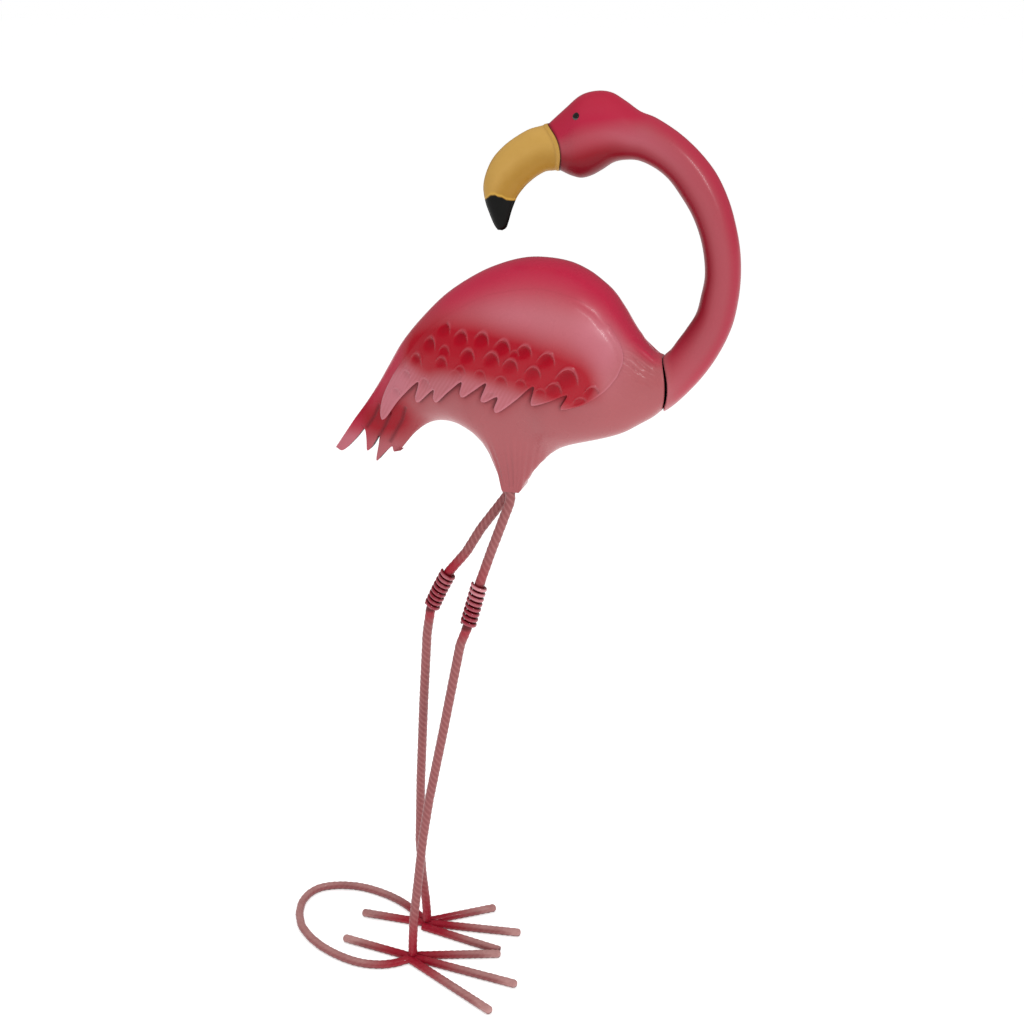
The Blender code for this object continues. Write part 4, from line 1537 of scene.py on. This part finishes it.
@dataclass
class RibbedBar:
    """A round bar with slanted ribs, swept along a path and cut back where it meets other bars.

    Between the two heights of plain it has no ribs. A grounded bar is pale above as painted highlight and
    dark below as painted shade.
    """

    name: str
    node: str
    path: Array
    red: Callable[[Array], Array]
    waver: float = 0.00005
    outer: float = BAR_RADIUS - waver
    rib: float = 0.00028
    pitch: float = 0.0064
    starts: float = 4.0
    sides: int = 32
    step: float = 0.0008
    rounded: tuple[bool, bool] = (True, True)
    reference: tuple[float, float, float] = (0.0, 1.0, 0.0)
    clear_of: tuple[tuple[Array, ...], tuple[Array, ...]] = ((), ())
    plain: Point = (0.0, 0.0)
    plain_fade: float = 0.002
    longest_cut: float = 0.045
    cut_steps: int = 260
    tip_fade: Point = (0.028, 0.002)
    dark: Callable[[Array], Array] | None = None
    grounded: float = 0.0

    def frames(self, at: Array) -> tuple[Array, Array, Array]:
        """Read the path's places and its two cross directions.

        Args:
            at: ways along the path.

        Returns:
            Places, first and second cross directions.
        """
        tangent = unit(np.gradient(self.path, axis=0))
        across = unit(np.cross(tangent, self.reference))
        other = np.cross(tangent, across)
        way = lengths(self.path)
        return tuple(
            np.stack([np.interp(at, way, rows[:, k]) for k in range(3)], axis=-1)
            for rows in (self.path, across, other)
        )

    def cut_back(self, turn: Array, lines: tuple[Array, ...], last: bool) -> Array:
        """Find where each of the bar's lines comes clear of its neighbours' round surfaces.

        Args:
            turn: the lines' places around the bar.
            lines: the neighbours' axes, as broken lines.
            last: whether it is the far end that is cut.

        Returns:
            A way along the path for each line.
        """
        total = lengths(self.path)[-1]
        at = np.linspace(0.0, min(self.longest_cut, total / 3), self.cut_steps)
        at = total - at if last else at
        middle, across, other = self.frames(at)
        ring = across[:, None] * np.cos(turn)[:, None] + other[:, None] * np.sin(turn)[:, None]
        grid = middle[:, None] + self.outer * ring
        gap = np.min([near_line(grid, line) for line in lines], axis=0) - (BAR_RADIUS + FIT_GAP * 0.5)
        blocked = np.maximum.accumulate((gap < 0.0)[::-1], axis=0)[::-1]
        return at[np.argmin(blocked, axis=0)]

    def build(self, paint: bpy.types.Material) -> bpy.types.Object:
        """Make the bar and let it stand for its solid.

        The radius at a place along and around the bar is the core's plus the rib's bell of the phase
        length / pitch + starts * turn, and it closes in a quarter circle at a rounded end.

        Args:
            paint: the bar's enamel.

        Returns:
            The piece.
        """
        total = lengths(self.path)[-1]
        turn = np.linspace(0.0, 2 * math.pi, self.sides, endpoint=False)
        start, end = np.zeros(self.sides), np.full(self.sides, total)
        if self.clear_of[0]:
            start = self.cut_back(turn, self.clear_of[0], False)
        if self.clear_of[1]:
            end = self.cut_back(turn, self.clear_of[1], True)
        share = np.linspace(0.0, 1.0, max(int(total / self.step), 8))[:, None]
        s = start + (end - start) * share
        middle, across, other = self.frames(s)
        phase = s / self.pitch + self.starts * turn / (2 * math.pi)
        rib = (0.5 + 0.5 * np.cos(2 * math.pi * phase)) ** 2
        z, (low_end, high_end) = middle[..., 2], self.plain
        inside = smoothstep(low_end - self.plain_fade, low_end, z)
        inside = inside * smoothstep(high_end + self.plain_fade, high_end, z) * (high_end > low_end)
        wander = self.waver * np.sin(s * 410 + 3 * np.sin(turn))
        radius = self.outer - self.rib - self.waver + self.rib * rib * (1.0 - inside) + wander
        radius = radius + inside * (self.rib + 2 * self.waver)
        cap = self.outer * 0.9
        near = np.where(self.rounded[0], s, 1.0)
        far = np.where(self.rounded[1], total - s, 1.0)
        radius = radius * np.sqrt(1 - (1 - np.clip(np.minimum(near, far) / cap, 0.0, 1.0)) ** 2)
        ring = across * np.cos(turn)[:, None] + other * np.sin(turn)[:, None]
        grid = middle + radius[..., None] * ring
        ends = [np.broadcast_to(grid[k].mean(axis=0), grid[k].shape)[None] for k in (0, -1)]
        grid = np.concatenate([ends[0], grid, ends[1]])
        # rib drives the painted highlight on the crests and the painted shade in the grooves
        rib = capped(rib)
        tip = capped(smoothstep(*self.tip_fade, np.minimum(near, far)))
        upward = capped(ring)[..., 2]
        # a grounded bar gets a painted highlight on top and a painted shade on its underside
        tip = np.clip(tip + 0.75 * self.grounded * smoothstep(0.25, 0.95, upward), 0.0, 1.0)
        low = self.grounded * smoothstep(0.05, -0.70, upward)
        rib = rib * (1.0 - 0.5 * self.grounded)
        masks = {"rib": rib, "red": np.clip(self.red(grid), 0.0, 1.0), "tip": tip, "low": low}
        if self.dark:
            masks["dark"] = self.dark(grid)
        plan = MeshPlan(("rib", "red", "tip", "low", "dark"))
        ids = plan.put(grid, **masks)
        plan.skin(ids, True)
        return install(plan.build(self.name, (paint,), 70.0), self.node)


RIGHT_LEG = (
    (32, -7.2, 588), (11, -9, 529), (-0.5, -11, 494), (-15.5, -14, 438), (-23, -15, 418),
    (-43, -20, 310), (-60, -25, 221), (-68, -28, 168), (-74.5, -31, 108), (-80, -33, 60),
)
LEFT_LEG = (
    (25, 7.2, 590), (-6, 9, 547), (-23, 10, 518), (-43, 11, 493), (-55, 12.3, 470), (-67, 14, 444),
    (-72.5, 15, 412), (-80, 19, 324), (-88, 24, 217), (-93, 28, 128), (-92, 31, 80), (-89, 33, 40),
)


@dataclass
class Leg:
    """A leg: a ribbed bar from the thigh to the foot, and the wire coil at its knee."""

    side: Side
    points: tuple[tuple[float, float, float], ...]
    foot: Point
    coil_high: float
    coil_low: float
    turns: int = 8
    pitch: float = 0.0056
    coil_radius: float = BAR_RADIUS + FIT_GAP + WIRE_RADIUS + 0.00015
    wire_half: Point = (0.00150, 0.00205)
    red_above: Point = (34, 2)
    red_below: Point = (20, 2)
    red_foot: Point = (84, 20)
    red_strength: dict[Side, float] = field(default_factory=lambda: {Side.RIGHT: 0.45, Side.LEFT: 1.0})
    # how strong the coil's pink painted highlight is on each side
    worn_strength: dict[Side, float] = field(default_factory=lambda: {Side.RIGHT: 1.0, Side.LEFT: 0.3})
    wire_steps: int = 52
    wire_sides: int = 16

    def path(self) -> Array:
        """Find the bar's corners from the thigh's sole to the top of the foot's long bar.

        Returns:
            The corners in metres.
        """
        inner = np.array(self.points) * SHARE
        top = (inner[0][0], inner[0][1], THIGH_Z * SHARE - FIT_GAP)
        x, y = self.foot[0] * SHARE, self.foot[1] * SHARE
        sole = 2 * BAR_AXIS + FIT_GAP
        return np.vstack([top, inner, (x, y, sole + 2 * BAR_RADIUS), (x, y, sole)])

    def red(self, places: Array) -> Array:
        """Spray red near the foot and beyond both ends of the coil.

        Args:
            places: in metres.

        Returns:
            How much red lies at each.
        """
        z = places[..., 2] / SHARE
        middle = (self.coil_high + self.coil_low) / 2
        above = smoothstep(*(self.coil_high + rise for rise in self.red_above), z) * (z > middle)
        below = smoothstep(*(self.coil_low - drop for drop in self.red_below), z) * (z <= middle)
        foot = smoothstep(*self.red_foot, z)
        return self.red_strength[self.side] * above + 0.80 * below + 0.95 * foot

    def dark(self, places: Array) -> Array:
        """Paint the bar dark under the coil, a painted shade between the turns.

        Args:
            places: in metres.

        Returns:
            How much of it lies at each.
        """
        z = places[..., 2] / SHARE
        top = smoothstep(self.coil_high, self.coil_high - 4, z)
        return smoothstep(self.coil_low - 3, self.coil_low + 2, z) * top

    def build_bar(self, paint: bpy.types.Material) -> bpy.types.Object:
        """Make the bar, without ribs where the coil hides it.

        Args:
            paint: the bar's enamel.

        Returns:
            The piece.
        """
        word = self.side.word
        bar = RibbedBar(
            f"ribbed_leg_{word}",
            f"leg_{word}",
            eased_path(self.path(), 0.0009, 0.006),
            self.red,
            rounded=(False, False),
            plain=((self.coil_low - 1) * SHARE, self.coil_high * SHARE),
            dark=self.dark,
        )
        return bar.build(paint)

    def build_coil(self, paint: bpy.types.Material) -> bpy.types.Object:
        """Make the coil: a wire along a left-hand helix round the leg's own line.

        Args:
            paint: the coil's enamel.

        Returns:
            The piece.
        """
        line = self.path()[::-1]

        def axis_at(z: Array) -> Array:
            """Read the leg's line at a height."""
            return np.stack([np.interp(z, line[:, 2], line[:, k]) for k in range(3)], axis=-1)

        up = unit(axis_at(self.coil_high * SHARE) - axis_at(self.coil_low * SHARE))
        t = np.linspace(-0.5, 0.5, self.turns * self.wire_steps + 1)
        z = t * self.turns * self.pitch * up[2] + (self.coil_high + self.coil_low) / 2 * SHARE
        axis = eased_path(axis_at(z), np.linalg.norm(axis_at(z[1]) - axis_at(z[0])), 0.004)
        axis = read_path(axis, np.linspace(0.0, lengths(axis)[-1], len(t)))
        across = unit(np.cross(up, (0.0, 1.0, 0.0)))
        other = np.cross(up, across)
        turn = -2 * math.pi * self.turns * (t + 0.5)
        away = np.cos(turn)[:, None] * across + np.sin(turn)[:, None] * other
        path = axis + self.coil_radius * away
        tangent = unit(np.gradient(path, axis=0))
        lift = unit(np.cross(tangent, away))
        ring = np.linspace(0.0, 2 * math.pi, self.wire_sides, endpoint=False)
        s = lengths(path)
        size = np.sqrt(np.clip(1 - (1 - np.minimum(np.minimum(s, s[-1] - s) / 0.0014, 1)) ** 2, 0, 1))
        flat = self.wire_half[0] * np.cos(ring)[None, :, None] * away[:, None]
        tall = self.wire_half[1] * np.sin(ring)[None, :, None] * lift[:, None]
        grid = path[:, None] + size[:, None, None] * (flat + tall)
        # face picks the wire's outer face; the rest gets the painted shade between the turns
        face = np.broadcast_to(smoothstep(0.35, 0.97, np.cos(ring)), grid.shape[:-1])
        # the pink painted highlight on the upper turns
        worn = np.broadcast_to(smoothstep(-0.10, 0.50, t)[:, None], grid.shape[:-1])
        plan = MeshPlan(("face", "worn"))
        ids = plan.put(grid, face=face, worn=worn * self.worn_strength[self.side])
        plan.skin(ids, True)
        piece = plan.build(f"wire_coil_{self.side.word}", (paint,), 70.0)
        return install(piece, f"knee_coil_{self.side.word}")


GROUND_BAR = {"outer": BAR_AXIS - 0.00002, "reference": (0.0, 0.0, 1.0), "grounded": 1.0}


def ground_line(points: Sequence[Point]) -> Array:
    """Lay points of the ground plan at the height of a bar's axis."""
    return np.array([(x * SHARE, y * SHARE, BAR_AXIS) for x, y in points])


@dataclass
class Foot:
    """A foot: a long bar for the back and middle toes, and a bar for each side toe.

    A side toe's axis starts sunk thousandths behind its root, and the bar is cut back to the long
    bar's flank from there.
    """

    side: Side
    centre: Point
    back: Point
    middle: Point
    inner: tuple[Point, Point]
    outer: tuple[Point, Point]
    red_reach: float = 0.070
    sunk: float = 9.0

    def long_line(self) -> Array:
        """Give the long bar's axis."""
        return ground_line((self.back, self.centre, self.middle))

    def red(self, places: Array) -> Array:
        """Spray red round the foot's centre."""
        centre = np.array(self.centre) * SHARE
        return smoothstep(self.red_reach, 0.018, np.linalg.norm(places[..., :2] - centre, axis=-1))

    def build(self, paint: bpy.types.Material, tip_clear: tuple[Array, ...] = ()) -> list[bpy.types.Object]:
        """Make the foot's three bars; the side toes start at the long bar's flank.

        Args:
            paint: the bar's enamel.
            tip_clear: axes that the inner toe's tip is cut back from.

        Returns:
            The pieces.
        """
        word = self.side.word
        path = eased_path(self.long_line(), 0.0008, 0.004)
        bar = RibbedBar(f"ribbed_long_toe_{word}", f"long_toe_{word}", path, self.red, **GROUND_BAR)
        made = [bar.build(paint)]
        for which, ends in (("inner_toe", self.inner), ("outer_toe", self.outer)):
            far = tip_clear if which == "inner_toe" else ()
            root = np.array(ends[0]) - self.sunk * unit(np.subtract(ends[1], ends[0]))
            bar = RibbedBar(
                f"ribbed_{which}_{word}",
                f"{which}_{word}",
                eased_path(ground_line((root, ends[1])), 0.0008, 0.002),
                self.red,
                rounded=(False, not far),
                clear_of=((self.long_line(),), far),
                **GROUND_BAR,
            )
            made.append(bar.build(paint))
        return made


RIGHT_FOOT = Foot(
    Side.RIGHT,
    centre=(-82, -33.5),
    back=(-177, -22.5),
    middle=(51.5, -45),
    inner=((-74, -27.5), (17, 3)),
    outer=((-76, -42), (36.2, -97.6)),
)
LEFT_FOOT = Foot(
    Side.LEFT,
    centre=(-88, 33),
    back=(-174, 30.5),
    middle=(29, 48),
    inner=((-82, 24), (13, 8.5)),
    outer=((-84, 40.5), (-15.4, 88.1)),
)


@dataclass
class BaseLoop:
    """The loop behind the feet."""

    feet: tuple[Foot, ...]
    points: tuple[Point, ...] = (
        (-86, -38), (-98, -49), (-115, -57.5), (-140, -61), (-172, -55), (-208, -39), (-240, -11),
        (-256, 29), (-250, 59), (-228, 74), (-198, 80), (-166, 76), (-137, 66.5), (-112, 52),
        (-92, 37),
    )
    corners: int = 25

    def red(self, places: Array) -> Array:
        """Spray red where the loop meets each foot.

        Args:
            places: in metres.

        Returns:
            How much red lies at each.
        """
        centres = [np.array(foot.centre) * SHARE for foot in self.feet]
        far = [np.linalg.norm(places[..., :2] - centre, axis=-1) for centre in centres]
        return smoothstep(0.062, 0.018, np.min(far, axis=0))

    def build(self, paint: bpy.types.Material) -> bpy.types.Object:
        """Make the loop along a smooth curve through its points.

        Args:
            paint: the bar's enamel.

        Returns:
            The piece.
        """
        flat = catmull(self.points, np.linspace(0, len(self.points) - 1, self.corners))
        bar = RibbedBar(
            "ribbed_base_loop",
            "base_loop",
            eased_path(ground_line(flat), 0.0009, 0.011),
            self.red,
            rounded=(False, False),
            clear_of=((self.feet[0].long_line(),), (self.feet[1].long_line(),)),
            **GROUND_BAR,
        )
        return bar.build(paint)


@dataclass
class Studio:
    """The floor, the lights and the camera."""

    eye: tuple[float, float, float] = (0.3755, -1.1713, 0.9606)
    pitch: float = 20.0
    azimuth: float = 16.5
    lens: float = 48.06
    floor: float = 400.0
    ambient: float = 0.54
    backdrop: float = 1.0
    reflected: float = 0.22
    floor_lift: float = 0.54

    def lamp(
        self,
        name: str,
        place: Sequence[float],
        aim: Sequence[float],
        size: Point,
        power: float,
        glossy: bool,
    ) -> None:
        """Hang a soft rectangular light.

        Args:
            name: the lamp's name.
            place: where it hangs.
            aim: what it points at.
            size: width and height.
            power: watts.
            glossy: whether reflections show it.
        """
        data = bpy.data.lights.new(name, "AREA")
        data.shape = "RECTANGLE"
        data.size, data.size_y = size
        data.energy = power
        lamp = bpy.data.objects.new(name, data)
        lamp.location = place
        lamp.visible_glossy = glossy
        lamp.rotation_euler = (Vector(aim) - Vector(place)).to_track_quat("-Z", "Y").to_euler()
        bpy.context.scene.collection.objects.link(lamp)

    def world(self) -> None:
        """Set white behind the object, a softer grey for what it lights and a darker one in reflections."""
        mix = Mixer(bpy.data.worlds.new("studio"))
        seen = mix.node("ShaderNodeLightPath", {}, {}, "Is Camera Ray") * (self.backdrop - self.ambient)
        mirrored = mix.node("ShaderNodeLightPath", {}, {}, "Is Glossy Ray") * (self.reflected - self.ambient)
        values = {"Color": (1.0, 1.0, 1.0), "Strength": seen + mirrored + self.ambient}
        mix.fill(mix.tree.nodes["Background"], values)
        bpy.context.scene.world = mix.owner
        bpy.context.scene.view_settings.view_transform = "Standard"

    def ground(self) -> None:
        """Lay a pale floor with a faint mottle."""
        mesh = bpy.data.meshes.new("floor")
        f = self.floor
        mesh.from_pydata([(-f, -f, 0), (f, -f, 0), (f, f, 0), (-f, f, 0)], [], [(0, 1, 2, 3)])
        floor = bpy.data.objects.new("floor", mesh)
        bpy.context.scene.collection.objects.link(floor)
        mix = Mixer.start("floor_white")
        tone = mix.blend(mix.noise(3.0), (0.90, 0.90, 0.90), (0.92, 0.92, 0.92))
        lit = {"Emission_Color": (1.0, 1.0, 1.0), "Emission_Strength": self.floor_lift}
        mesh.materials.append(mix.dress(Base_Color=tone, Roughness=0.9, **lit))
        floor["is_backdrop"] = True

    def camera(self) -> None:
        """Set the camera at the photograph's viewing angle."""
        data = bpy.data.cameras.new("camera")
        data.sensor_width = 36.0
        data.lens = self.lens
        data.clip_end = 2000.0
        camera = bpy.data.objects.new("camera", data)
        camera.location = self.eye
        camera.rotation_euler = (math.radians(90 - self.pitch), 0.0, math.radians(self.azimuth))
        bpy.context.scene.collection.objects.link(camera)
        bpy.context.scene.camera = camera

    def build(self) -> None:
        """Set up the whole studio."""
        self.world()
        self.ground()
        self.camera()
        above, bird = (-0.2, -0.5, 2.6), (0.0, 0.0, 0.6)
        self.lamp("top_softbox", above, bird, size=(2.2, 2.2), power=23.0, glossy=False)
        aside, breast = (1.25, -0.95, 1.65), (0.05, 0.0, 0.75)
        self.lamp("right_strip", aside, breast, size=(0.12, 0.7), power=10.0, glossy=True)


def main() -> None:
    """Build the bird and its studio."""
    logging.basicConfig(level=logging.INFO, format="%(name)s: %(message)s")
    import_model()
    cad_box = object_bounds()
    sheet_paint = EnamelAndPaintedLight().material()
    inside = DarkInside().material()
    bar_paint = BarEnamel().material()
    coil_paint = CoilEnamel().material()
    eye_paint = EyeGloss().material()
    made = [BodyForm().build(sheet_paint, inside)]
    made += [Wing(side).build(sheet_paint) for side in Side]
    made.append(NeckAndHead().build(sheet_paint, inside))
    made.append(Beak().build(BeakEnamel().material(), inside))
    made += [Eye(side).build(eye_paint) for side in Side]
    made += RIGHT_FOOT.build(bar_paint)
    made += LEFT_FOOT.build(bar_paint, (ground_line(RIGHT_FOOT.inner),))
    made.append(BaseLoop((RIGHT_FOOT, LEFT_FOOT)).build(bar_paint))
    legs = (
        Leg(Side.RIGHT, RIGHT_LEG, RIGHT_FOOT.centre, coil_high=494, coil_low=438),
        Leg(Side.LEFT, LEFT_LEG, LEFT_FOOT.centre, coil_high=494, coil_low=442),
    )
    for leg in legs:
        made += [leg.build_bar(bar_paint), leg.build_coil(coil_paint)]
    for piece in made:
        LOG.info("%s: %d faces", piece.name, len(piece.data.polygons))
    Studio().build()
    both = {"cad": cad_box, "visual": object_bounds()}
    boxes = {name: [list(map(float, corner)) for corner in box] for name, box in both.items()}


if __name__ == "__main__":
    main()
